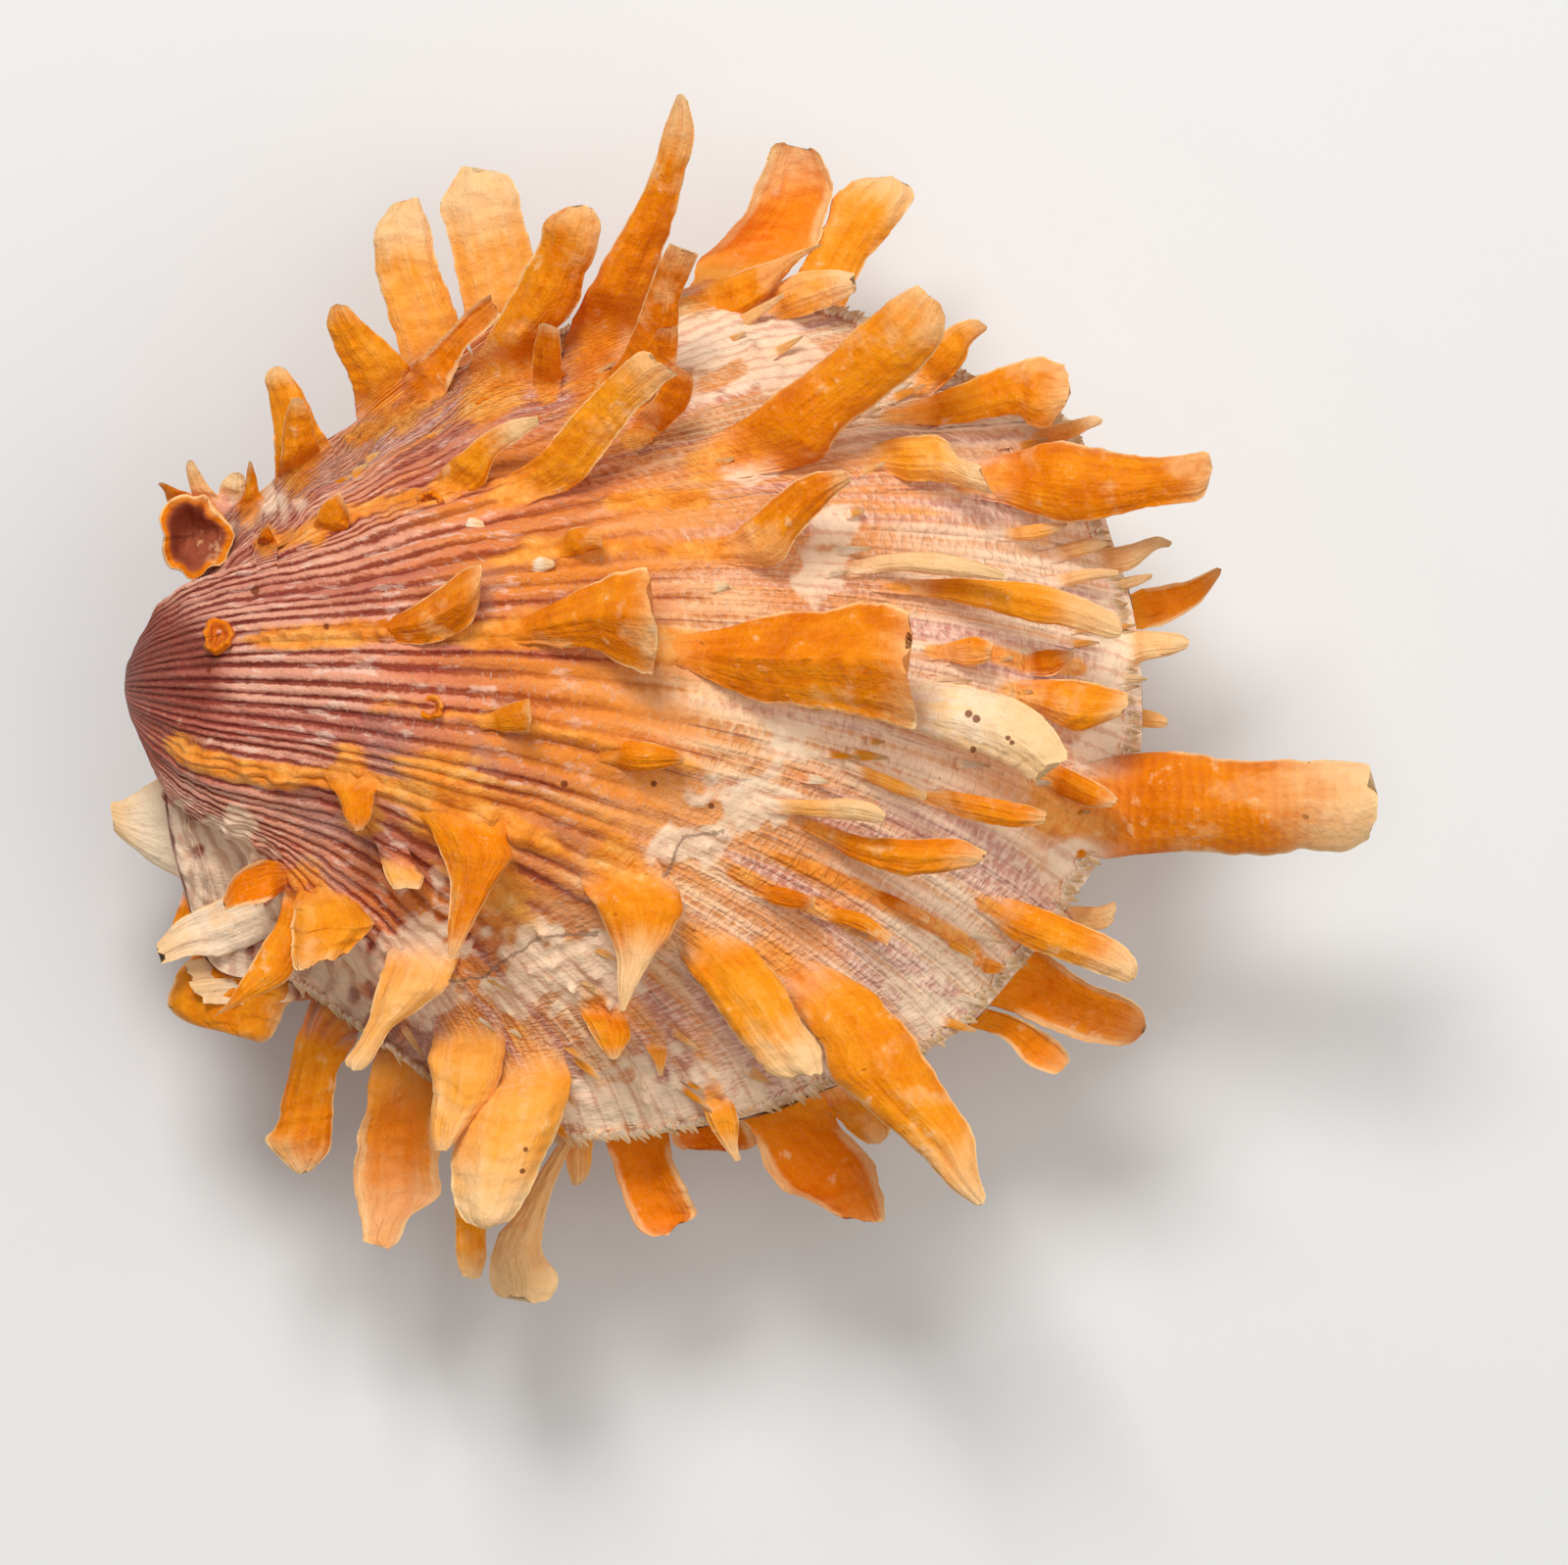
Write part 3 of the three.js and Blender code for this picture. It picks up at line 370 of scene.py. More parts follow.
            (13.5, -11.5, 14, -13), (18, -11.6, 18, -13.3), (21.5, -11.4, 21.5, -13.7), (24, -12, 23.8, -13.9),
            (25.4, -13, 25, -13.9)]),
        ("edge_pale_thorn", 2, 0.7, 0.3, [
            (49.5, 5.5, 50, 1.8), (52.5, 5.6, 52.5, 2.8), (55.3, 5.4, 54.5, 3.2), (56.5, 4.7, 56.3, 3.9)]),
        ("edge_tiny_thorn", 1, 0.9, 0.3, [(49.5, 1.3, 49.5, 0.2), (51, 1.1, 51, 0.4), (52.2, 0.8, 52.1, 0.6)]),
        ("top_pale_thorn", 2, 0.6, 0.3, [(9.3, 37.2, 10, 35.8), (12.5, 38.9, 12.8, 37.9), (15, 40.2, 15, 39.6)]),
    ],
    "flake": [
        ("ear_fold", -1.5, 1.15, 0.2, [
            (-36.5, -25, -36, -19), (-42, -27.4, -42, -21.6), (-45.4, -27.6, -46.4, -23.6),
            (-48.8, -28.4, -49.2, -26.4)]),
    ],
    "tube": [
        ("edge_giant", 5, 0.07, 0.2, [
            (44.5, -8.2, 45, -17.2), (48, -7.5, 48, -17.6), (52, -6.8, 52, -17.1), (57, -6.8, 57, -16.9),
            (60, -7.5, 61, -17.2), (66, -7.5, 66, -17.2), (67.5, -7.6, 68, -16.6), (72, -7.6, 72, -16.9),
            (75.6, -8.2, 75.3, -15.2)]),
    ],
    "trumpet": [
        ("first_trumpet", 4.8, 0.06, 0.0, [
            (-29, 6.2, -29, 5), (-24.5, 7, -25, 4.5), (-20, 9.6, -20.5, 4.2), (-17.3, 11.6, -16.9, 5.8),
            (-15.4, 12.1, -15.6, 8.6)]),
        ("middle_trumpet", 4.9, 0.06, 0.0, [
            (-13.5, 5.6, -13.5, 4.2), (-9, 8, -9, 3.9), (-4.5, 10.1, -4.5, 3.5), (-1, 11.6, -1, 1.9),
            (2.3, 12, 2.2, 1)]),
        ("great_trumpet", 4.8, 0.1, 0.0, [
            (2.5, 5, 2.5, 2.6), (8, 5.6, 7.5, 0.6), (14, 7, 13, -1.7), (20, 7.7, 19, -2.3), (25, 8.4, 25, -3.5),
            (28.4, 7.2, 28.6, -4.5)]),
    ],
    "stub": [
        ("scar_a", 0.4, 1.1, 0.5, [(-18, 15.4, -17.8, 16.6), (-16.7, 15, -16.5, 17), (-15.4, 15.6, -15.3, 16.5)]),
        ("scar_b", 0.3, 1.1, 0.5, [(-28.3, 2.9, -28.3, 2.1), (-27.2, 3.1, -27.2, 1.9), (-26, 2.8, -26, 2.2)]),
        ("scar_c", 0.3, 1.0, 0.5, [(-10.6, 12.8, -10.6, 11.6), (-9.5, 13, -9.5, 11.5), (-8.2, 12.6, -8.2, 11.9)]),
        ("scar_ear", 0.4, 1.1, 0.5, [(-45, 16.4, -44.8, 16.4), (-45.7, 15, -44.2, 15), (-45.2, 13.2, -44.7, 13.2)]),
        ("barnacle_stub", 6, 0.1, 0.05, [(-10.6, 30, -7.6, 30), (-10.4, 34, -7.7, 33.5), (-9.8, 36.9, -7.9, 36.5)]),
        ("row_stub_a", 3, 0.1, 0.0, [(-15.2, -3, -15, -4.6), (-12.8, -1.8, -13, -4.8), (-10.4, -1.2, -10.3, -4.6)]),
        ("row_stub_b", 2, 0.08, 0.0, [
            (-3, -6.2, -3, -7.8), (0, -5.6, 0, -8.8), (3, -6.2, 3, -8.4), (5, -7.2, 5, -7.8)]),
        ("row_stub_c", 2, 0.1, 0.0, [(-8, 14.6, -8, 12.8), (-6, 16, -5.5, 13.2), (-3.2, 15.5, -3.4, 13.8)]),
    ],
}
LOWER_SPINES = {
    "gutter": [
        ("deep_gutter_spine", 1, 0.4, 0.25, [
            (4.8, 40.5, 14, 41), (7, 44.2, 17.8, 45), (10.6, 48, 19.4, 49), (12.4, 52, 19.8, 52),
            (13.8, 55.3, 18.6, 54.7), (15, 55.8, 16.8, 55.6)]),
        ("right_horn", 3, 0.28, 0.12, [
            (48.5, 8.5, 48.5, 6), (52, 10, 52.5, 5.9), (56, 10.8, 57, 8), (59.7, 12.3, 59.9, 11.7)]),
        ("cream_rim_gutter", 1, 0.22, 0.08, [
            (36, -28.5, 33.5, -32.4), (41, -27, 38, -33.3), (45, -29.8, 42.5, -35.2), (49, -31.4, 46.5, -36.4),
            (51.5, -33, 49.8, -36.9), (52.2, -34.8, 51.9, -35.8)]),
        ("rounded_gutter", -1, 0.25, 0.1, [
            (35, -32.8, 33, -34.6), (39.5, -34.2, 37.3, -36), (42.5, -36, 39.8, -38.5), (44.2, -38, 42.6, -39.7),
            (44.1, -39, 43.4, -39.5)]),
        ("pale_rim_spine", 1, 0.38, 0.4, [
            (-20.5, -37, -26.8, -37), (-20.8, -43, -27.9, -43.5), (-20.4, -49, -28.9, -48.2),
            (-20.5, -52.2, -28.6, -53.2), (-23.2, -54.3, -28.2, -56), (-24.2, -56.4, -28.1, -56.9),
            (-25.3, -57.9, -26.3, -57.4)]),
        ("deep_orange_spine", 0, 0.12, 0.0, [
            (3, -43, -4.2, -43.5), (3.6, -48.5, -2.6, -49), (5.4, -52.3, -1.3, -53.2), (6.2, -54, 0.2, -55.8),
            (4.5, -55.4, 2.5, -56.7)]),
        ("bottom_lobe", 1, 0.16, 0.05, [(9, -43, 3, -44), (12.2, -46.2, 4, -47), (11.8, -47.6, 6, -48)]),
        ("ragged_bottom_spine", 0, 0.14, 0.05, [
            (18.5, -41, 9.5, -42), (21.5, -46, 12.3, -47.5), (24.2, -49, 14.5, -51.3), (25, -52, 17.8, -52.8),
            (25.3, -54.9, 22, -55.2)]),
    ],
    "plate": [
        ("notched_top_spine", 2, 0.42, 0.35, [
            (-23.5, 32, -17.5, 35), (-25, 37, -18.8, 39), (-26.6, 42, -20.6, 43.5), (-27, 46.2, -21.4, 47.3),
            (-25.6, 48.8, -22.1, 49), (-24.2, 50.1, -22.4, 50.1)]),
        ("broad_top_spatula", 1, 0.45, 0.4, [
            (-17.4, 36, -9, 39), (-18.2, 41, -10.6, 44), (-19.4, 46, -11.8, 47.5), (-20.4, 49.3, -12.3, 50.3),
            (-19.1, 51.5, -13.3, 52.2), (-18, 53.3, -15, 53.3)]),
        ("lobed_top_spine", 0, 0.3, 0.12, [
            (15.5, 41, 21, 38), (18.5, 46, 23.2, 43.5), (20.2, 50.2, 25.8, 46.5), (22.2, 51.9, 28.3, 50),
            (25, 52.4, 27, 52.4)]),
        ("right_stub", 1, 0.5, 0.2, [(50, -2, 50, -4), (53, -2.6, 53, -4.3), (54.5, -3.4, 54.4, -4.1)]),
        ("lower_right_stub", 1, 0.6, 0.3, [(44, -22.5, 44.5, -24.8), (47, -22.6, 47.5, -25), (49.1, -22, 49, -24)]),
        ("left_bottom_spine", 0, 0.2, 0.16, [
            (-29, -36.5, -34.5, -35), (-30.9, -39.8, -35.9, -40), (-31.3, -44.5, -37, -44.8),
            (-31.6, -47.5, -38, -46.5), (-32.8, -49, -36, -49), (-33.8, -50, -34.8, -50)]),
        ("flared_peach_spine", 2, 0.65, 0.25, [
            (-4.5, -43.5, -7, -45), (-7.2, -48, -9.8, -49.5), (-9.2, -53, -12.3, -53.8), (-9.8, -57.5, -14.8, -57),
            (-8.2, -60.8, -15.2, -61), (-9.2, -63.2, -14, -63.2)]),
        ("yellow_spine", -2, 0.25, 0.1, [
            (-15.2, -48, -18.8, -48), (-15.5, -54, -18.7, -54), (-15.6, -58.5, -18.6, -58.5),
            (-16.2, -60.8, -18, -60.8)]),
        ("bottom_nub", 0, 0.4, 0.2, [
            (-4.6, -44, -7, -45), (-4.7, -48, -7.3, -48), (-5, -50, -6.9, -50.5), (-6, -51.2, -6.6, -51.3)]),
        ("small_bottom_right", 1, 0.22, 0.1, [
            (22.5, -42, 18.8, -43), (25.6, -44.4, 22, -45.8), (25.8, -46.2, 24.2, -47.3)]),
        ("ear_flange", 0, 0.2, 0.05, [
            (-34, -28, -45, -27), (-35.3, -31.8, -47.6, -30.5), (-36.6, -33.4, -48, -32.8),
            (-38, -35.9, -45.5, -34.7), (-39.4, -36.8, -41, -35.6)]),
        ("ear_sliver", 1, 0.2, 0.1, [(-45.5, -22, -47, -22.5), (-46, -25, -48, -25.4), (-48.4, -27.3, -48.9, -27.4)]),
    ],
    "flake": [
        ("ear_flake_a", 3.4, 1.15, 0.3, [
            (-36, -26.5, -36, -30.6), (-42, -27.2, -42, -30.9), (-46.4, -28.3, -46, -30.8)]),
        ("ear_flake_b", 2.6, 1.1, 0.3, [
            (-35, -28.5, -35, -32.2), (-41, -29.6, -41, -32.5), (-46, -30.3, -45, -32.4)]),
    ],
    "lump": [
        ("hinge_beak", -1.5, 1.2, 0.2, [
            (-43, -7, -43, -20.5), (-47.5, -8.8, -47, -19.6), (-50.4, -10.3, -50, -18), (-52.6, -11.6, -52.6, -16),
            (-54.2, -11.9, -54.1, -14.4)]),
    ],
}
# Short spines under the lower valve: direction in degrees, stage of the root, length, width
UNDERSIDE_SPINES = [
    (64, 0.86, 13, 4.5), (33, 0.84, 15, 5), (8, 0.85, 14, 5.5), (-14, 0.86, 15, 5), (-36, 0.85, 15, 5.5),
    (-62, 0.84, 15, 5), (-92, 0.84, 14, 5), (-118, 0.85, 12, 4.5), (92, 0.84, 13, 5), (118, 0.85, 11, 4.5),
]
UNDERSIDE_CENTRE = np.array([0.0, -2.0])
UNDERSIDE_DROP = 0.35


# How each form is shaped
def form(arch, around, along, **special):
    """A form from the height of its arch over half its width, and its steps around and along. What may be
    special: the share of it that is hollow, the depth of the hollow, rounding and raggedness of the tip,
    thinning towards it, roughness, calm colours, a keel along the back, cupped forms that lie on their backs
    with the hollow up, the length of the buried start, and how far out it is held on the skin."""
    plain = dict(hollow=0.0, depth=0.0, rounding=0.0, rag=0.0, thin=0.0, rough=1.0, calm=0.0, keel=False,
                 cupped=False, lead=None, held_to=0.32)
    return {**plain, "arch": arch, "around": around, "along": along, **special}


FORMS = {
    "scoop": form(0.62, 36, 52, hollow=0.7, depth=0.6, rounding=0.2, rag=0.9, thin=0.5),
    "cut": form(0.55, 40, 64, hollow=0.8, depth=0.65, rag=1.6, thin=0.5),
    "fang": form(0.5, 28, 36, hollow=0.6, depth=0.6, rag=0.3, thin=0.3),
    "thorn": form(0.85, 18, 26, rounding=0.3, rag=0.1),
    "tube": form(0.72, 44, 72, hollow=0.9, depth=0.8, rag=1.4, thin=0.5, rough=0.35, calm=0.35),
    "trumpet": form(0.75, 48, 56, hollow=0.7, depth=0.65, rag=0.7, keel=True),
    "stub": form(0.7, 22, 20, hollow=0.6, depth=0.3, rounding=0.2, rag=0.4),
    "gutter": form(0.9, 40, 52, hollow=1.0, depth=0.85, rounding=0.1, rag=1.0, thin=0.5, cupped=True),
    "plate": form(0.4, 36, 48, hollow=0.5, depth=0.4, rag=1.1, thin=0.3),
    "flake": form(0.07, 32, 36, rag=1.6, thin=0.5, held_to=1.6),
    "lump": form(0.5, 36, 30, rounding=0.2, rag=0.6, thin=0.2),
    "under": form(0.6, 18, 20, hollow=0.5, depth=0.5, rounding=0.4, rag=0.6, thin=0.3),
    "tooth": form(0.5, 8, 5, lead=0.3),
    "scale": form(0.4, 12, 12, rounding=0.3, rag=0.5, lead=0.8),
}
LARGE_FORMS = ("scoop", "cut", "trumpet", "tube")
SMALL_FORMS = [kind for kind in FORMS if kind not in LARGE_FORMS]

# Raised orange ribs that carry the spines: height, width, stain and the line they run on
RIDGES = [
    (1.1, 1.5, 0.9, [(-42, 4.6), (-34, 4.8), (-28, 5.3), (-21, 5.6), (-13, 5), (-4, 5.5), (4, 4)]),
    (1.2, 1.5, 0.95, [(-49, -4.8), (-45, -6.6), (-40, -8.3), (-35, -9.3), (-28, -9.4), (-20, -11.6), (-13, -14),
        (-4, -18.5)]),
    (0.8, 1.3, 0.6, [(-30, -1.8), (-24, -2.2), (-18, -3), (-12, -3.4), (-3, -5.8), (3, -7.4), (9, -9)]),
    (0.6, 1.5, 0.7, [(-16, 12.5), (-9, 14), (-4, 14.6), (4, 13.6), (10, 13.4)]),
    (0.9, 1.4, 0.8, [(-40, 14), (-36, 14.8), (-31, 16.4), (-26, 17.9), (-20, 19.6)]),
    (0.6, 1.2, 0.9, [(-4, 18.6), (3, 18.9), (8, 18.6)]),
    (0.7, 1.1, 0.9, [(8, -18.3), (14.5, -21.3), (20, -23), (26, -26)]),
    (0.8, 1.1, 0.9, [(12, -16.5), (20, -19.6), (25, -21.8), (30, -24.2), (37, -28.6)]),
    (0.7, 1.1, 0.8, [(28, 3.2), (35, 3.5), (40, 2.2), (47, 1.8)]),
    (0.6, 1.3, 0.5, [(22, 17.6), (30, 17.2), (37, 15.8), (44, 14.5)]),
    (0.8, 1.5, 0.8, [(-31, 25), (-26, 26), (-22, 28.5), (-18, 32)]),
]
# Chalky places on the skin, as ellipses: middle x and y, half widths
CHALKY = [
    (-45, -20, 6, 11), (-41, -26, 9, 8), (-31, -29, 9, 6), (-23, -28, 8, 7), (-8, -29, 9, 5), (1, -42, 10, 5),
    (6, -17, 4, 4), (11, -12, 5, 3), (18, 13, 4.5, 5), (16, -6, 5, 3), (9, 34, 8, 5), (17, 34, 8, 3),
    (29, -33, 5, 4.5), (46, -17.5, 5, 3.5), (49, 3, 3, 7), (48, -5.5, 3, 3), (12, 22, 5, 1.5), (-38, 19, 4, 3),
]
# The front ear of the upper valve, curled into a cup: radius and height from the middle underneath
# over the rim to the middle of its hollow
EAR_CUP_WALL = [
    (0.2, -3), (2.0, -2.6), (2.6, 0.5), (3.1, 3.4), (2.9, 4.2), (2.2, 3.4), (1.7, 0.9), (0.9, -0.6), (0.2, -0.9),
]
EAR_CUP_PLACE = (-45.4, 15.4, SEAM_Z + 1.8)
EAR_CUP_STRETCH = 1.35
EAR_CUP_LEAN = -20
# Small curls and rings grown on the ribs: place, radius and height, and their wall as shares of both
RINGS = [
    (-42.4, 5, 1.8, 2.6), (-20.6, -2.3, 1.3, 1.8), (-8.6, 31.6, 1.1, 1.6), (-21, 18.8, 1.2, 1.2),
    (-15.3, 28.6, 1.1, 1.2), (-9.2, 33.4, 0.8, 1.2),
]
RING_WALL = [(1, 0.4), (0.8, 1), (0.55, 0.85), (0.4, 0.4)]
EDGE_TEETH = 420
RIB_SCALES = 110
# Small dark holes seen from above: x, y and radius. Then the fine cracks, as lines.
PITS = [
    (33.7, -2.9, 0.4), (34.5, -3.4, 0.42), (37.7, -5.3, 0.3), (38.1, -5.8, 0.28), (34.2, -6.5, 0.3),
    (-38.7, 9.6, 0.45), (-31.3, 5.9, 0.3), (-7.2, -10, 0.35), (1.8, -10, 0.35), (-11.3, -47.2, 0.27),
    (-11.6, -49.4, 0.25), (-43.4, 1.5, 0.3), (7.6, -12.2, 0.3),
]
CRACKS = [
    [(-19.2, -30), (-16, -29.8), (-12, -27.2), (-9.5, -25.5), (-4, -25.2)],
    [(8.8, -14.8), (5, -15.3), (4, -17), (3, -19.5)],
]


# Making meshes
def start_clean():
    if bpy.context.mode != "OBJECT":
        bpy.ops.object.mode_set(mode="OBJECT")
    bpy.ops.object.select_all(action="DESELECT")


def face_outwards():
    """Turns the faces of the piece in edit mode outwards, and leaves edit mode."""
    bpy.ops.mesh.select_all(action="SELECT")
    bpy.ops.mesh.normals_make_consistent(inside=False)
    bpy.ops.object.mode_set(mode="OBJECT")


def own_copy(source, name):
    piece = bpy.data.objects.new(name, source.data.copy())
    bpy.context.scene.collection.objects.link(piece)
    return piece


def read_places(mesh):
    places = np.empty(len(mesh.vertices) * 3)
    mesh.vertices.foreach_get("co", places)
    return places.reshape(-1, 3)


def write_places(mesh, places):
    mesh.vertices.foreach_set("co", np.ascontiguousarray(places, float).ravel())
    mesh.update()


def set_field(mesh, name, values):
    field = mesh.attributes.get(name) or mesh.attributes.new(name, "FLOAT", "POINT")
    field.data.foreach_set("value", np.full(len(mesh.vertices), values, np.float32))


# What the finish reads from each vertex: growth stage, riblet and distance from the beaks of the skin
# under it, the place along and across a spine and its reach in metres, its tone and the pale share of its
# tip, how much it is a spine, a hollow, a rim or smooth, and the stain and chalk of the skin
FIELDS = ("growth", "rib", "far", "along", "across", "reach", "tone", "pale", "spine", "inside", "rim", "calm",
          "stain", "chalk")


def set_fields(piece, spot, **given):
    """Writes every field of a piece whose vertices are at spot. What isn't given is 0."""
    given["far"] = np.hypot(spot[:, 0] - BEAK_X, spot[:, 1]) / 100
    for name in FIELDS:
        set_field(piece.data, name, given.get(name, 0))


def spine_blank(around, along):
    """A closed round bar of unit length along +Y, made by extruding a disc step by step."""
    start_clean()
    bpy.ops.mesh.primitive_circle_add(vertices=around, radius=1, fill_type="NGON", rotation=(math.pi / 2, 0, 0))
    bar = bpy.context.object
    bpy.ops.object.transform_apply(location=False, rotation=True, scale=False)
    bpy.ops.object.mode_set(mode="EDIT")
    bpy.ops.mesh.select_all(action="SELECT")
    for _ in range(along):
        bpy.ops.mesh.extrude_region_move(TRANSFORM_OT_translate={"value": (0, 1 / along, 0)})
    face_outwards()
    return bar


BLANKS = {}


def blank_for(form):
    key = (form["around"], form["along"])
    if key not in BLANKS:
        BLANKS[key] = spine_blank(*key)
    return BLANKS[key]


def join(pieces, name):
    start_clean()
    for piece in pieces:
        piece.select_set(True)
    bpy.context.view_layer.objects.active = pieces[0]
    bpy.ops.object.join()
    whole = bpy.context.object
    whole.name = name
    whole.data.name = name
    bpy.ops.object.mode_set(mode="EDIT")
    face_outwards()
    return whole


# Forming spines
def middles_of(line):
    return (line[:, :2] + line[:, 2:]) / 2


def with_start(outline, lower, lead):
    """The outline with one more pair of points before the root, inside the valve, and how far back that is."""
    line = np.array(outline, float)
    root, second = middles_of(line)[:2]
    heading = unit(second - root)
    root_width = math.dist(line[0, :2], line[0, 2:])
    back = lead or (LOWER_LEAD if lower else min(UPPER_LEAD * root_width + UPPER_LEAD_MORE, LONGEST_LEAD))
    while lower and stage_at(*(root - heading * back), False)[0] > BODY_LIMIT:
        back += 0.5
    return np.vstack([line[0] - np.tile(heading * back, 2), line]), back


def tip_loss(draw, across, line, form):
    """How much shorter than its outline the tip is: rounded in plan and broken unevenly."""
    last_width, tip_width = (math.dist(line[k, :2], line[k, 2:]) for k in (-2, -1))
    bite = sum(draw.uniform(0.4, 1) / k * np.cos(k * 2.1 * across + draw.uniform(0, 6.28)) for k in BITES)
    loss = form["rounding"] * 0.4 * np.abs(across) ** 2.4 + form["rag"] * 0.12 * (bite + 0.7)
    return loss * max(0.7 * last_width, tip_width)


def height_line(line, lead, plan, out_share, half, rise, length, lower, held_to):
    """Height of a spine's middle and sides. Near its root it settles on the upper valve's own surface."""
    if lower:
        depth = SEAM_Z - ground(middles_of(line[:1]), False)[0]
        drop = np.clip(0.45 * depth, LEAST_ROOT_DROP, LOWER_ROOT_DROP)
        return SEAM_Z - drop + rise * np.clip(out_share, 0, 1) ** 1.3
    root_height = ground(middles_of(line[1:2]))[0]
    free = root_height + rise * out_share - SPINE_SAG * length * out_share * (1 - out_share)
    held = 1 - smooth(0, held_to, out_share)
    buried = 1 - smooth(-lead, 0, out_share * length)
    sink = 0.05 * half - 0.3
    return free * (1 - held) + held * (ground(plan) - sink) - buried * (0.6 + 0.3 * half)


def section(across, height, form, out_share, half):
    """Lift of a spine's section over its middle line, as a share of its arch, and where its back is."""
    is_back = height >= -1e-6
    round_top = np.sqrt(np.clip(1 - across ** 2, 0, 1))
    if not form["hollow"]:
        return np.where(is_back, round_top ** 0.85, -0.7 * round_top), is_back
    back = (1 - across ** 2) ** 0.7
    if form["keel"]:
        back = 1.06 - np.sqrt(across ** 2 * 1.1 + 0.0036)
    thickness = PLATE_THICKNESS * (1 - form["thin"] * smooth(0.2, 1, out_share))
    plate = np.clip(thickness / (form["arch"] * half), 0.12, 0.7)
    sheet = back * form["depth"] - plate * round_top ** 0.6
    opened = form["hollow"] * smooth(0.02, 0.4, out_share)
    front = -0.5 * round_top * (1 - opened) + sheet * opened
    return np.where(is_back, back, front), is_back


def growth_relief(draw, seed, across, height, beyond, reach, plan, half):
    """Growth bands that step outwards along the spine, and folds and fine lines that run its length.
    Gives how far they stand up and how far they flare at the sides."""
    flat = 0 * reach
    band_place = reach / draw.uniform(1.8, 2.8) + 0.3 * np.sin(across * 2.5 + draw.uniform(0, 6))
    band_place = band_place + 0.45 * Ripple(seed + 3, 6.0)(np.stack([*plan.T, flat], -1))
    band = (band_place - np.floor(band_place)) ** 2
    folds = Ripple(seed + 4, 1.0)(np.stack([across * 1.3, beyond * 0.3, flat], -1))
    angle = np.arctan2(height, across)
    fine_lines = Ripple(seed + 6, 0.5)(np.stack([angle * 1.1, beyond * 0.5, flat], -1))
    relief = (0.2 * band + 0.17 * folds * (1 - across ** 6) + 0.07 * fine_lines) * np.minimum(half / 2, 1.3)
    return relief, (0.5 * band + 0.4 * fine_lines) * 0.25 * np.minimum(half / 3, 1) * np.abs(across) ** 3


def shape_spine(name, rise, tone, pale, outline, kind, lower):
    """Copies the plain bar and forms it into one spine, between the two sides of its outline."""
    form = FORMS[kind]
    piece = own_copy(blank_for(form), name)
    bar = read_places(piece.data)
    across, v, height = np.clip(bar[:, 0], -1, 1), np.clip(bar[:, 1], 0, 1), bar[:, 2]
    turned = -1 if form["cupped"] else 1
    seed = sum(ord(letter) * (k + 3) for k, letter in enumerate(name))
    draw = np.random.default_rng(seed)
    line, lead = with_start(outline, lower, form["lead"])
    steps = np.hypot(*np.diff(middles_of(line), axis=0).T)
    length = steps.sum()
    marks = np.concatenate([[0], np.cumsum(steps)]) / length
    leaves = marks[1]

    # shares of the length: run with the buried start, out_share without it
    run = np.clip(v - smooth(0.6, 1, v) * tip_loss(draw, across, line, form) / length, 0, 1)
    out_share = (run - leaves) / (1 - leaves)
    beyond = np.clip(out_share, 0, 1)

    place = np.interp(run, marks, np.arange(len(marks)))
    left, right = through(line[:, :2], place), through(line[:, 2:], place)
    half = np.hypot(*(left - right).T) / 2
    wander = Ripple(seed + 9, 4.0)(np.stack([run * length, np.sign(across) * 9, 0 * run], -1))
    spread = turned * across * (1 + 0.05 * form["rough"] * wander)
    plan = left * ((1 - spread) / 2)[:, None] + right * ((1 + spread) / 2)[:, None]
    lift, is_back = section(across, height, form, beyond, half)
    middle_height = height_line(
        line, lead, plan, out_share, half, rise, length * (1 - leaves), lower, form["held_to"])
    arch = form["arch"] * half * (0.15 + 0.85 * smooth(-0.1, 0.15 if lower else 0.4, out_share))

    relief, flare = growth_relief(draw, seed, across, height, beyond, run * length, plan, half)
    spot = np.stack([*plan.T, middle_height + turned * arch * lift], -1)
    lumps = Ripple(seed, 6.0)(spot) * 0.06 * np.minimum(half, 3) + Ripple(seed + 1, 2.2)(spot) * 0.08
    shown = smooth(-0.1, 0.15, out_share) * np.where(is_back == (turned > 0), 1, 0.6)
    spot[:, 2] += form["rough"] * (relief + lumps) * shown
    spot[:, :2] += unit(right - left) * (form["rough"] * flare * np.sign(spread))[:, None]
    write_places(piece.data, spot * MM)

    stage, t = stage_at(spot[:, 0], spot[:, 1], not lower)
    top = np.sqrt(np.clip(1 - across ** 2, 0, 1))
    side_rim = smooth(0.5, 0.95, np.abs(across)) if form["cupped"] else across ** 8
    set_fields(
        piece, spot, growth=np.clip(stage, 0, 1), rib=rib_coordinate(stage, t), along=beyond, across=across,
        reach=run * length * MM, tone=tone, pale=pale, spine=smooth(-0.03, 0.12 if lower else 0.24, out_share),
        inside=np.where(is_back, 0, smooth(0.05, 0.4, beyond)) * top * bool(form["hollow"]),
        rim=side_rim * smooth(0.1, 0.4, beyond) + smooth(0.97, 1.0, run), calm=form["calm"])
    return piece


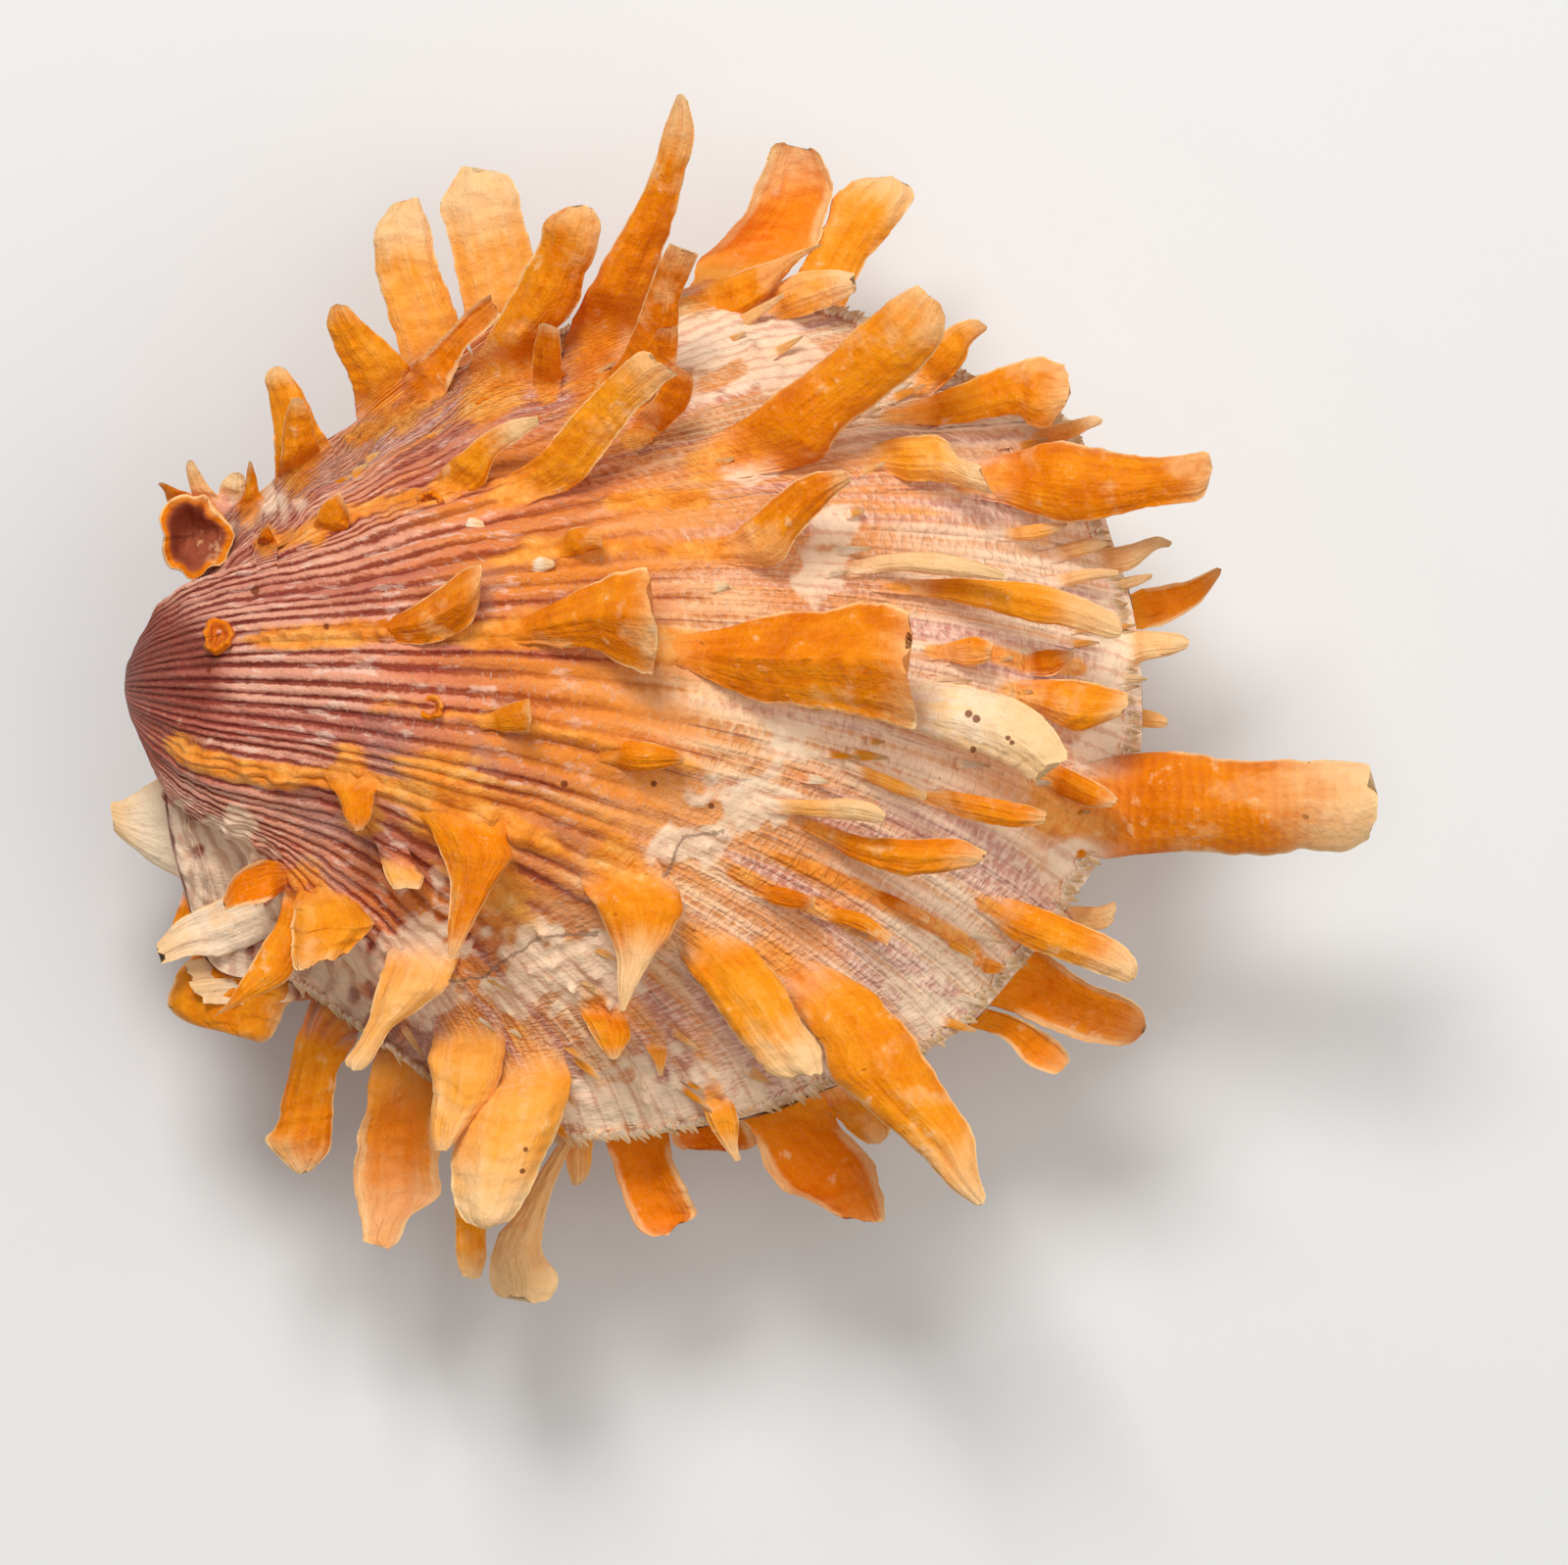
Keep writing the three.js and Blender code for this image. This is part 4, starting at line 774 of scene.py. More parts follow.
def shape_cup(name, wall, place, stretch, lean, dark=1.0):
    """The same bar formed into an upright cup, its profile running from the middle underneath
    over the rim to the middle of the hollow. lean is the side on which it stays low, in degrees."""
    piece = own_copy(blank_for(FORMS["scoop"]), name)
    bar = read_places(piece.data)
    v, angle = np.clip(bar[:, 1], 0, 1), np.arctan2(bar[:, 2], bar[:, 0])
    profile = through(np.array(wall, float), v * (len(wall) - 1))
    turn = sum(ord(letter) for letter in name)
    low_side = 0.5 + 0.5 * np.cos(angle - math.radians(lean))
    edge = smooth(0.2, 0.5, v) * (1 - smooth(0.5, 0.9, v))
    ring = 1 + 0.12 * np.cos(2 * angle + turn) + 0.07 * np.cos(3 * angle + 2 * turn) + 0.04 * np.sin(7 * angle)
    ring = ring + edge * (0.07 * np.cos(5 * angle + turn) + 0.03 * np.cos(11 * angle)) + 0.16 * low_side * edge
    ring = ring + 0.12 * Ripple(turn, 1.1)(np.stack([np.cos(angle), np.sin(angle), v * 2], -1))
    raised = (1 - 0.75 * low_side ** 1.5) * (1 + 0.1 * np.cos(4 * angle + turn) + 0.07 * np.cos(9 * angle))
    spot = np.stack([
        place[0] + profile[:, 0] * ring * np.cos(angle),
        place[1] + profile[:, 0] * ring * np.sin(angle) * stretch,
        place[2] + np.where(profile[:, 1] > 0, profile[:, 1] * raised, profile[:, 1]),
    ], -1)
    write_places(piece.data, spot * MM)
    set_fields(
        piece, spot, growth=0.1, rib=angle / 40, along=0.3, across=angle / math.pi, reach=profile[:, 1] * MM,
        tone=0.1, spine=1, inside=(1 + dark) * smooth(0.5, 0.62, v),
        rim=smooth(0.38, 0.46, v) * (1 - smooth(0.48, 0.54, v)) * dark)
    return piece


# The skins of the valves
def root_swell(x, y, spines):
    """How the skin swells and stains towards each spine's root."""
    swell, stain = np.zeros(x.shape), np.zeros(x.shape)
    for _, _, tone, _, outline in spines:
        line = np.array(outline, float)
        middles = middles_of(line)
        widths = np.hypot(*(line[:, :2] - line[:, 2:]).T)
        (root_x, root_y), (dx, dy) = middles[0], unit(middles[1] - middles[0])
        along = (x - root_x) * dx + (y - root_y) * dy
        aside = -(x - root_x) * dy + (y - root_y) * dx
        width = max(widths[0], 0.5 * widths.max())
        profile = smooth(-2 * width, -0.2 * width, along) * (1 - smooth(0, 0.5 * width + 1, along))
        swell = np.maximum(swell, 0.12 * width * profile * np.exp(-(aside / (0.5 * width)) ** 2))
        spread = smooth(-1.4 * width, 0, along) * (1 - smooth(0.5 * width, 2 * width, along))
        stain = np.maximum(stain, max(1 - 1.2 * tone, 0) * spread * np.exp(-(aside / (0.45 * width + 0.2)) ** 2))
    return swell, stain


def ridge_swell(x, y):
    """The raised ribs between the roots, and the stain that goes with them."""
    swell, stain = np.zeros(x.shape), np.zeros(x.shape)
    here = np.stack([x, y, 0 * x], -1)
    beads = 0.7 + 0.35 * Ripple(31, 3.4)(here) + 0.35 * Ripple(32, 1.5)(here)
    for height, width, colour, line in RIDGES:
        far = np.full(x.shape, 1e9)
        fade = np.zeros(x.shape)
        whole = len(line) - 1
        for k, ((ax, ay), (bx, by)) in enumerate(zip(line, line[1:])):
            span = (bx - ax) ** 2 + (by - ay) ** 2
            share = np.clip(((x - ax) * (bx - ax) + (y - ay) * (by - ay)) / span, 0, 1)
            away = np.hypot(x - ax - share * (bx - ax), y - ay - share * (by - ay))
            place = (k + share) / whole
            fade = np.where(away < far, smooth(0, 0.12, place) * (1 - smooth(0.88, 1, place)), fade)
            far = np.minimum(far, away)
        swell = np.maximum(swell, height * fade * beads * np.exp(-(far / width) ** 2))
        stain = np.maximum(stain, colour * (0.4 + 0.6 * fade) * np.exp(-(far / (width * 1.15)) ** 2))
    return swell, stain


def chalkiness(x, y):
    here = np.stack([x, y, 0 * x], -1)
    rough = Ripple(41, 7.0)(here) * 0.4 + Ripple(42, 2.4)(here) * 0.3
    chalk = np.zeros(x.shape)
    for middle_x, middle_y, half_x, half_y in CHALKY:
        reach = np.hypot((x - middle_x) / half_x, (y - middle_y) / half_y)
        chalk = np.maximum(chalk, 1 - smooth(0.5, 1.15, reach + rough))
    return chalk


def marks_of(x, y, spines, is_upper):
    """Swelling, stain and chalk of the skin. Only the upper valve has raised ribs and chalk."""
    swell, stain = root_swell(x, y, spines)
    if not is_upper:
        return swell, stain, 0 * x
    ridge, ridge_stain = ridge_swell(x, y)
    return np.maximum(swell, ridge), np.maximum(stain, ridge_stain), chalkiness(x, y)


def take_skin_marks(piece, spines, is_upper):
    """Gives spines the stain and chalk of the skin that they grow from."""
    x, y, _ = read_places(piece.data).T / MM
    _, stain, chalk = marks_of(x, y, spines, is_upper)
    set_field(piece.data, "stain", stain)
    set_field(piece.data, "chalk", chalk)


def riblet_relief(stage, rib):
    phase = 2 * math.pi * RIBLETS * rib
    young = np.abs(np.cos(phase / 2)) ** 0.7
    late = np.abs(np.cos(phase)) ** 0.7
    more = smooth(*DOUBLING, stage)
    strength = 0.75 + 0.45 * Ripple(21, 0.03)(np.stack([rib, 0.02 * stage, 0 * rib], -1))
    return (young * (1 - more) + late * more * 0.6) * strength


def skin_relief(base, stage, t, rib, swell, chalk):
    """How far the outside of a valve stands out from its plain growth."""
    calm = smooth(0.03, 0.2, stage) * ear_fade(t)
    relief = RIBLET_HEIGHT * (riblet_relief(stage, rib) - 0.6) * calm * (1 - 0.45 * chalk)
    lumps = Ripple(13, 3.2)(base) + 0.6 * Ripple(14, 1.5)(base) + 2.5 * np.maximum(Ripple(15, 2.2)(base), 0) ** 2
    relief = relief + lumps * CHALK_LUMP_HEIGHT * chalk * calm
    steps_out = np.cos(2 * math.pi * (stage * GROWTH_STEPS + 0.3 * np.sin(9 * rib)))
    relief = relief + GROWTH_STEP_HEIGHT * steps_out * smooth(0.3, 0.9, stage) * calm
    for seed, length, height in SKIN_WAVES:
        relief = relief + Ripple(seed, length)(base) * height * calm
    return (relief + swell) * (1 - smooth(0.93, 1.0, stage) * 0.6)


def outward(point, stage, t, is_upper):
    ahead = point(np.clip(stage + SMALL_STEP, 0, 1), t) - point(np.clip(stage - SMALL_STEP, 0, 1), t)
    beside = point(stage, np.clip(t + SMALL_STEP, 0, 1)) - point(stage, np.clip(t - SMALL_STEP, 0, 1))
    normal = unit(np.cross(ahead, beside))
    return normal if (normal[stage > 0.5, 2].sum() > 0) == is_upper else -normal


def close_skin():
    """Merges the poles, closes the lining with one face and turns all faces outwards."""
    bpy.ops.object.mode_set(mode="EDIT")
    bpy.ops.mesh.select_all(action="SELECT")
    bpy.ops.mesh.remove_doubles(threshold=2e-6)
    bpy.ops.mesh.select_all(action="DESELECT")
    bpy.ops.mesh.select_mode(type="EDGE")
    bpy.ops.mesh.select_non_manifold(extend=False, use_wire=False, use_multi_face=False,
                                     use_non_contiguous=False, use_verts=False)
    bpy.ops.mesh.edge_face_add()
    face_outwards()


def skin(name, point, steps, spines, is_upper):
    """A valve's outside with its riblets, turned in at the edge to a plain lining."""
    columns, growth_rows = steps
    start_clean()
    bpy.ops.mesh.primitive_grid_add(x_subdivisions=columns, y_subdivisions=growth_rows + LINING_ROWS, size=1)
    piece = bpy.context.object
    piece.name = name
    sheet = read_places(piece.data)
    t = sheet[:, 0] + 0.5
    row = np.rint((sheet[:, 1] + 0.5) * (growth_rows + LINING_ROWS))
    is_outside = row <= growth_rows
    stage = np.where(is_outside, row / growth_rows, 1 - (row - growth_rows) / LINING_ROWS)
    base = point(stage, t)
    normal = outward(point, stage, t, is_upper)
    rib = rib_coordinate(stage, t)
    swell, stain, chalk = marks_of(base[:, 0], base[:, 1], spines, is_upper)
    outside = base + normal * skin_relief(base, stage, t, rib, swell, chalk)[:, None]
    wall = WALL * smooth(0, 0.12, 1 - stage) * smooth(0.0, 0.25, stage) * ear_fade(t)
    inside = base - normal * (wall + LEAST_WALL)[:, None]
    spot = np.where(is_outside[:, None], outside, inside)

    # neither valve crosses the seam at its edge or inside, and the lower one is cut off flat underneath
    at_seam = np.isclose(stage, 1) | ~is_outside
    if is_upper:
        spot[at_seam, 2] = np.maximum(spot[at_seam, 2], SEAM_Z + SEAM_GAP / 2)
    else:
        spot[at_seam, 2] = np.minimum(spot[at_seam, 2], SEAM_Z - SEAM_GAP / 2)
        spot[:, 2] = np.maximum(spot[:, 2], np.where(is_outside, 0, FLOOR_WALL))
    write_places(piece.data, spot * MM)
    set_fields(piece, spot, growth=stage, rib=rib, stain=stain, chalk=chalk)
    close_skin()
    return piece


# Shader maths
class Value:
    """Wraps a socket, so that expressions on it add Math nodes."""

    def __init__(self, finish, socket):
        self.finish, self.socket = finish, socket

    def _math(self, operation, *others, clamp=False):
        return self.finish.node("ShaderNodeMath", {"operation": operation, "use_clamp": clamp}, self, *others)

    def __add__(self, other):
        return self._math("ADD", other)

    def __sub__(self, other):
        return self._math("SUBTRACT", other)

    def __mul__(self, other):
        return self._math("MULTIPLY", other)

    def __truediv__(self, other):
        return self._math("DIVIDE", other)

    def __pow__(self, other):
        return self._math("POWER", other)

    def __rsub__(self, other):
        return self.finish.node("ShaderNodeMath", {"operation": "SUBTRACT"}, other, self)

    __radd__, __rmul__ = __add__, __mul__

    def cos(self):
        return self._math("COSINE")

    def absolute(self):
        return self._math("ABSOLUTE")

    def clamped(self):
        return self._math("ADD", 0.0, clamp=True)

    def larger(self, other):
        return self._math("MAXIMUM", other)

    def smaller(self, other):
        return self._math("MINIMUM", other)

    def between(self, low, high):
        """0 below low, 1 above high, smooth in between; high below low turns it over."""
        return self.finish.node(
            "ShaderNodeMapRange", {"interpolation_type": "SMOOTHSTEP"}, self, low, high, 0.0, 1.0)


class Finish:
    """One material and the nodes in it."""

    def __init__(self, name):
        self.material = bpy.data.materials.new(name)
        self.material.use_nodes = True
        self.nodes = self.material.node_tree.nodes
        self.links = self.material.node_tree.links
        self.shader = self.nodes["Principled BSDF"]
        self.place = self.node("ShaderNodeTexCoord", {}, out="Object")

    def node(self, kind, settings, *inputs, out=0, **named):
        made = self.nodes.new(kind)
        for key, setting in settings.items():
            if key == "stops":
                ramp = made.color_ramp
                for position, colour in setting[1:-1]:
                    ramp.elements.new(position).color = (*colour, 1)
                for end in (0, -1):
                    ramp.elements[end].position, ramp.elements[end].color = setting[end][0], (*setting[end][1], 1)
            else:
                setattr(made, key, setting)
        for key, value in [*enumerate(inputs), *named.items()]:
            key = key.replace("_", " ") if isinstance(key, str) else key
            if isinstance(value, Value):
                self.links.new(value.socket, made.inputs[key])
            else:
                made.inputs[key].default_value = value
        return Value(self, made.outputs[out])

    def field(self, name):
        return self.node("ShaderNodeAttribute", {"attribute_name": name}, out="Fac")

    def vector(self, x, y, z):
        return self.node("ShaderNodeCombineXYZ", {}, x, y, z, out="Vector")

    def noise(self, scale, detail=4.0, roughness=0.55, place=None):
        return self.node("ShaderNodeTexNoise", {}, Vector=place or self.place, Scale=scale, Detail=detail,
                         Roughness=roughness, out="Fac")

    def ramp(self, value, *stops):
        return self.node("ShaderNodeValToRGB", {"stops": stops}, value, out="Color")

    def mix(self, share, low, high):
        made = self.nodes.new("ShaderNodeMix")
        made.data_type = "RGBA"
        for socket, value in ((made.inputs["Factor"], share), (made.inputs[6], low), (made.inputs[7], high)):
            if isinstance(value, Value):
                self.links.new(value.socket, socket)
            else:
                socket.default_value = (*value, 1) if isinstance(value, tuple) else value
        return Value(self, made.outputs[2])

    def coats(self, colour, *coats):
        """Lays coats over a colour, each a share and the colour of the coat."""
        for share, coat in coats:
            colour = self.mix(share, colour, coat)
        return colour

    def bump(self, height, strength, distance):
        return self.node("ShaderNodeBump", {}, Height=height, Strength=strength, Distance=distance, out="Normal")

    def connect(self, **sockets):
        for name, value in sockets.items():
            self.links.new(value.socket, self.shader.inputs[name.replace("_", " ")])


def light(red, green, blue):
    """A colour as seen on screen, turned into the light values that nodes use."""
    return tuple((c / 255 / 12.92) if c <= 10 else ((c / 255 + 0.055) / 1.055) ** 2.4 for c in (red, green, blue))


def stops(*seen):
    return [(position, light(*colour)) for position, *colour in seen]


PAINT = {name: light(*seen) for name, seen in {
    "rose crest": (190, 104, 88), "rose groove": (142, 54, 46), "warm rib": (230, 134, 40), "mauve": (196, 132, 126),
    "pale mauve": (234, 190, 178), "purple": (112, 40, 50), "fine groove": (206, 146, 124), "bloom": (240, 204, 184),
    "dull": (168, 132, 122), "growth line": (242, 210, 186), "chalk": (248, 222, 190), "chalk shade": (214, 160, 130),
    "tip": (238, 184, 116), "tip cream": (250, 214, 168), "patch": (248, 188, 124), "hollow": (234, 124, 4),
    "deep hollow": (146, 72, 58), "rim": (250, 210, 150), "crust": (246, 196, 146), "pit": (112, 46, 16),
    "crack": (136, 104, 88), "scar": (214, 186, 158), "pale scar": (240, 224, 204),
}.items()}
# Colours of the riblets and of the grooves between them, by distance from the beaks
CREST_STOPS = stops(
    (0.0, 146, 72, 60), (0.07, 156, 80, 66), (0.1, 228, 164, 140), (0.26, 224, 148, 118), (0.36, 214, 120, 72),
    (0.46, 224, 138, 70), (0.56, 246, 198, 148), (0.66, 248, 208, 170), (0.8, 250, 216, 182), (0.93, 250, 214, 178),
    (1.05, 252, 220, 188))
GROOVE_STOPS = stops(
    (0.0, 116, 44, 36), (0.1, 132, 56, 46), (0.24, 150, 66, 48), (0.36, 146, 54, 26), (0.46, 184, 92, 36),
    (0.56, 212, 138, 80), (0.7, 224, 160, 112), (0.85, 232, 176, 132), (1.0, 228, 174, 132))
# Stained skin, and the spines from deep orange to cream
STAIN_STOPS = stops((0.28, 196, 92, 14), (0.45, 232, 132, 26), (0.58, 246, 168, 76), (0.72, 248, 208, 156))
SPINE_STOPS = stops(
    (0.0, 212, 106, 2), (0.1, 228, 124, 4), (0.24, 238, 146, 22), (0.4, 248, 166, 66), (0.6, 248, 186, 116),
    (0.9, 248, 210, 154), (1.25, 248, 222, 190))
SPECULAR_LEVEL = 0.22
SPECULAR_TINT = (1.0, 0.7, 0.25, 1)
BUMP_STRENGTH = 0.9


class ShellFinish(Finish):
    """The finish of both valves, from the fields of their vertices and noise in space."""

    def __init__(self, name):
        super().__init__(name)
        for field in FIELDS:
            setattr(self, field, self.field(field))
        self.east, self.north, self.up = (
            self.node("ShaderNodeSeparateXYZ", {}, self.place, out=axis) * 1000 for axis in "XYZ")
        self.broad = self.noise(60.0, 3.0)
        self.medium = self.noise(230.0, 5.0, 0.6)
        self.spots = self.noise(620.0, 4.0, 0.6)
        self.grain = self.noise(2200.0, 3.0)
        skin_colour, skin_height = self.skin_look()
        spine_colour, spine_height = self.spine_look()
        colour = self.marked(self.mix(self.spine, skin_colour, spine_colour))
        height = skin_height * (1 - self.spine) + spine_height * self.spine + self.grain * 0.07 + self.spots * 0.12
        self.connect(Base_Color=colour, Normal=self.bump(height, BUMP_STRENGTH, MM),
                     Roughness=self.medium * 0.3 + 0.32)
        self.shader.inputs["Specular IOR Level"].default_value = SPECULAR_LEVEL
        self.shader.inputs["Specular Tint"].default_value = SPECULAR_TINT

    def on_ribs(self, across, along, start, detail=2.0, roughness=0.55):
        """Noise that follows the ribs: how fast it changes across and along them, and where it starts."""
        place = self.vector(self.rib * across, self.growth * along, start)
        return self.noise(1.0, detail, roughness, place)

    def skin_look(self):
        """Riblets, each of its own tint, that split up twice outwards and are beaded by growth."""
        growth, far, chalk, medium, spots = self.growth, self.far, self.chalk, self.medium, self.spots
        phase = self.rib * (2 * math.pi * RIBLETS)
        outer = (growth + (medium - 0.5) * 0.05).between(*DOUBLING)
        young = (phase * 0.5).cos().absolute()
        crest = young * (1 - outer) + phase.cos().absolute() * outer
        fine_crest = (phase * 2.0).cos().absolute()
        rib_tint = self.on_ribs(56.0, 4.0, 0.0)
        groove_tint = self.on_ribs(70.0, 7.0, 9.0)
        beading = self.on_ribs(190.0, 170.0, 0.0, detail=1.0).between(0.36, 0.64)
        groove_width = (groove_tint - 0.5) * 1.5 + (medium - 0.5) * 0.4 + 0.22 * far.between(0.6, 0.3)
        groove = (crest - groove_width + (spots - 0.5) * 0.5 + (beading - 0.5) * 0.2).between(0.62, 0.12)

        zone_shift = ((rib_tint - 0.5) * 0.34 + (medium - 0.5) * 0.12) * far.between(0.04, 0.25)
        zone = far - self.north.between(10.0, 28.0) * 0.1 + zone_shift
        near = far.between(0.6, 0.3)
        rose_band = self.on_ribs(17.0, 3.0, 13.0).between(0.48, 0.62)
        warm_rib = self.on_ribs(21.0, 2.4, 5.0).between(0.46, 0.58) * far.between(0.24, 0.4)
        warm_rib = warm_rib * (far + (self.broad - 0.5) * 0.6).between(1.05, 0.7)
        mauve = self.on_ribs(60.0, 3.0, 21.0).between(0.5, 0.62)
        edge_line = (young + (spots - 0.5) * 0.16).between(0.18, 0.04) * groove_tint.between(0.5, 0.6) * (1 - chalk)
        bloom = self.on_ribs(80.0, 30.0, 31.0, 3.0, 0.6).between(0.55, 0.66) * far.between(0.07, 0.13) * near
        dull = (self.broad + (medium - 0.5) * 0.5).between(0.6, 0.72) * near
        growth_line = self.on_ribs(120.0, 260.0, 41.0).between(0.6, 0.68)
        crusted = (chalk + (medium - 0.5) + (spots - 0.5) * 0.6 + (rib_tint - 0.5)).between(0.26, 0.95)
        mottled = medium * 0.45 + spots * 0.35 + (rib_tint - 0.5) * 0.3 + 0.1
        stained = (self.stain + (medium - 0.5) * 0.7 + (rib_tint - 0.5) * 0.5 - 0.12 * groove).between(0.36, 0.66)
        colour = self.coats(
            self.mix(groove, self.ramp(zone, *CREST_STOPS), self.ramp(zone, *GROOVE_STOPS)),
            (rose_band * zone.between(0.6, 0.3) * 0.75, self.mix(groove, PAINT["rose crest"], PAINT["rose groove"])),
            (warm_rib * (0.8 - groove * 0.35), PAINT["warm rib"]),
            (mauve * outer * 0.7, self.mix(beading, PAINT["mauve"], PAINT["pale mauve"])),
            (edge_line * 0.6, PAINT["purple"]),
            (beading * fine_crest * outer * 0.3, PAINT["chalk"]),
            ((1 - fine_crest).between(0.6, 0.95) * outer * 0.2, PAINT["fine groove"]),
            (bloom * (0.65 - groove * 0.3), PAINT["bloom"]),
            (dull * 0.4, PAINT["dull"]),
            (growth_line * far.between(0.08, 0.2) * 0.25, PAINT["growth line"]),
            (crusted * 0.8, self.mix(groove * 0.6 + (medium - 0.5) * 1.4, PAINT["chalk"], PAINT["chalk shade"])),
            (stained * 0.9, self.ramp(mottled, *STAIN_STOPS)))

        # heights in millimetres, here and in spine_look
        height = (beading * 0.1 + fine_crest * 0.14) * outer + crest * 0.12 + beading * young * 0.05
        height = height + growth_line * 0.06 + medium * 0.35 + spots * 0.2
        return colour, height * (1 - crusted * 0.7) + crusted * medium * 0.6

    def spine_look(self):
        """Mottled orange streaked along the spine, a cream tip, thin pale rims and crusts."""
        reach, across, tone, calm = self.reach, self.across, self.tone, self.calm
        medium, spots = self.medium, self.spots
        streak = self.noise(1.0, 4.0, place=self.vector(reach * 110.0, across * 3.6, tone * 37.0))
        layer = self.noise(1.0, 2.0, place=self.vector(reach * 900.0, across * 0.9, tone * 91.0))
        mixed = medium * 0.35 + spots * 0.15 + streak * 0.3
        rings = (reach * 5200.0 + (medium - 0.5) * 7.0).cos() * calm * 0.07
        hue = tone + (mixed - 0.4) * (1.15 - calm * 1.4) + (self.broad - 0.5) * 0.4 + rings
        tip = (self.along + (medium - 0.5) * 0.3 + (streak - 0.5) * 0.24 + self.pale).between(0.8, 1.18)
        patch = self.noise(130.0, 4.0, 0.6).between(0.54, 0.66) * (1 - calm)
        crust = (medium * 0.6 + spots * 0.5).between(0.63, 0.72)
        colour = self.coats(
            self.ramp(hue, *SPINE_STOPS),
            (tip * 0.9, self.mix(spots, PAINT["tip"], PAINT["tip cream"])),
            (patch * 0.5, PAINT["patch"]),
            (self.inside.clamped() * (0.8 - tip * 0.5), PAINT["hollow"]),
            ((self.inside - 1.0).clamped() * 0.9, PAINT["deep hollow"]),
            ((self.rim + (medium - 0.5) * 0.9).between(0.5, 1.0) * 0.75, PAINT["rim"]),
            (crust * 0.55, PAINT["crust"]))
        return colour, streak * (0.42 - calm * 0.8) + layer * 0.12 + spots * 0.3 + rings * 1.2

    def away_from(self, line, x, y):
        """How far x, y is from the nearest stretch of a line seen from above."""
        nearest = None
        for (ax, ay), (bx, by) in zip(line, line[1:]):
            dx, dy = bx - ax, by - ay
            share = (((x - ax) * dx + (y - ay) * dy) / (dx ** 2 + dy ** 2)).clamped()
            away = ((x - ax - share * dx) ** 2 + (y - ay - share * dy) ** 2) ** 0.5
            nearest = away if nearest is None else nearest.smaller(away)
        return nearest

    def marked(self, colour):
        """Adds the brown pits and cracks seen from above, the flat scar underneath and a fine pale grain."""
        medium, spots = self.medium, self.spots
        specks = self.noise(800.0, 1.0).between(0.77, 0.8) * medium.between(0.48, 0.54)
        pits = specks * 0.6
        for x, y, radius in PITS:
            away = ((self.east - x) ** 2 + (self.north - y) ** 2) ** 0.5 + (spots - 0.5) * 0.4
            pits = pits.larger(away.between(radius * 1.15, radius * 0.75))
        cracks = specks * 0
        for line in CRACKS:
            shaken = self.away_from(line, self.east + (medium - 0.5) * 2.4, self.north + (spots - 0.5) * 1.6)
            cracks = cracks.larger(shaken.between(0.28, 0.05))
        above = self.up.between(SEAM_Z - 1, SEAM_Z)
        colour = self.coats(
            colour,
            (pits * above * 0.85, PAINT["pit"]),
            (cracks * above * 0.7, PAINT["crack"]),
            (self.up.between(0.5, 0.1) * 0.85, self.mix(medium, PAINT["scar"], PAINT["pale scar"])))
        return self.mix((self.grain - 0.5) * 0.45, colour, self.mix(0.5, colour, PAINT["chalk"]))


# Building the shell
def listed(table):
    return [row for rows in table.values() for row in rows]


def spines_of(table, kinds, lower):
    return [shape_spine(*row, kind, lower) for kind, rows in table.items() if kind in kinds for row in rows]


def across_from(x, y, degrees, length, width):
    """The outline of a small straight spine from its root, direction and size."""
    dx, dy = math.cos(math.radians(degrees)), math.sin(math.radians(degrees))
    pairs = []
    for share, half in ((0, 0.5), (0.5, 0.4), (1, 0.12)):
        mx, my = x + dx * length * share, y + dy * length * share
        aside_x, aside_y = dy * half * width, dx * half * width
        pairs.append((mx - aside_x, my + aside_y, mx + aside_x, my - aside_y))
    return pairs


def outwards_at(stage, t, step):
    """A spot on the upper valve from above, and the direction in degrees in which the shell grows there."""
    x, y, _ = upper_point(np.float64(stage), np.float64(t))
    next_x, next_y, _ = upper_point(np.float64(stage + step), np.float64(t))
    return x, y, math.degrees(math.atan2(next_y - y, next_x - x))


def rings():
    made = []
    for k, (x, y, radius, height) in enumerate(RINGS):
        base = ground(np.array([[x, y]], float))[0]
        wall = [(0.1, -1), (0.8 * radius, -0.8)] + [(r * radius, h * height) for r, h in RING_WALL]
        wall.append((0.1, 0.2 * height))
        made.append(shape_cup(f"ring_{k}", wall, (x, y, base + 0.3), 0.9, 100 + 50 * k, 0.3))
    return made


def edge_teeth():
    """The fine broken teeth of the free edge."""
    draw = np.random.default_rng(71)
    made = []
    for k in range(EDGE_TEETH):
        t = 0.12 + 0.8 * (k + draw.uniform(0.1, 0.9)) / EDGE_TEETH
        stage = 0.985 + draw.uniform(-0.006, 0.004)
        x, y, degrees = outwards_at(stage, t, 1.0 - stage)
        degrees += draw.uniform(-14, 14)
        outline = across_from(x, y, degrees, 1.1 + draw.uniform(0, 1) ** 2 * 0.9, draw.uniform(0.4, 0.8))
        made.append(shape_spine(f"tooth_{k}", 0.05, 1.3, 0.6, outline, "tooth", False))
    return made


def rib_scales():
    """Small scales that stand on the outer ribs."""
    draw = np.random.default_rng(72)
    made = []
    for k in range(RIB_SCALES):
        stage, t = 1 - draw.uniform(0.15, 1) ** 1.6 * 0.4, draw.uniform(0.12, 0.85)
        x, y, degrees = outwards_at(stage, t, 0.02)
        degrees += draw.uniform(-6, 6)
        outline = across_from(x, y, degrees, draw.uniform(1.6, 4.2), draw.uniform(0.7, 1.2))
        tone = draw.choice([0.25, 0.5, 1.0]) + draw.uniform(-0.08, 0.12)
        made.append(shape_spine(f"scale_{k}", 0.3, tone, 0.3, outline, "scale", False))
    return made


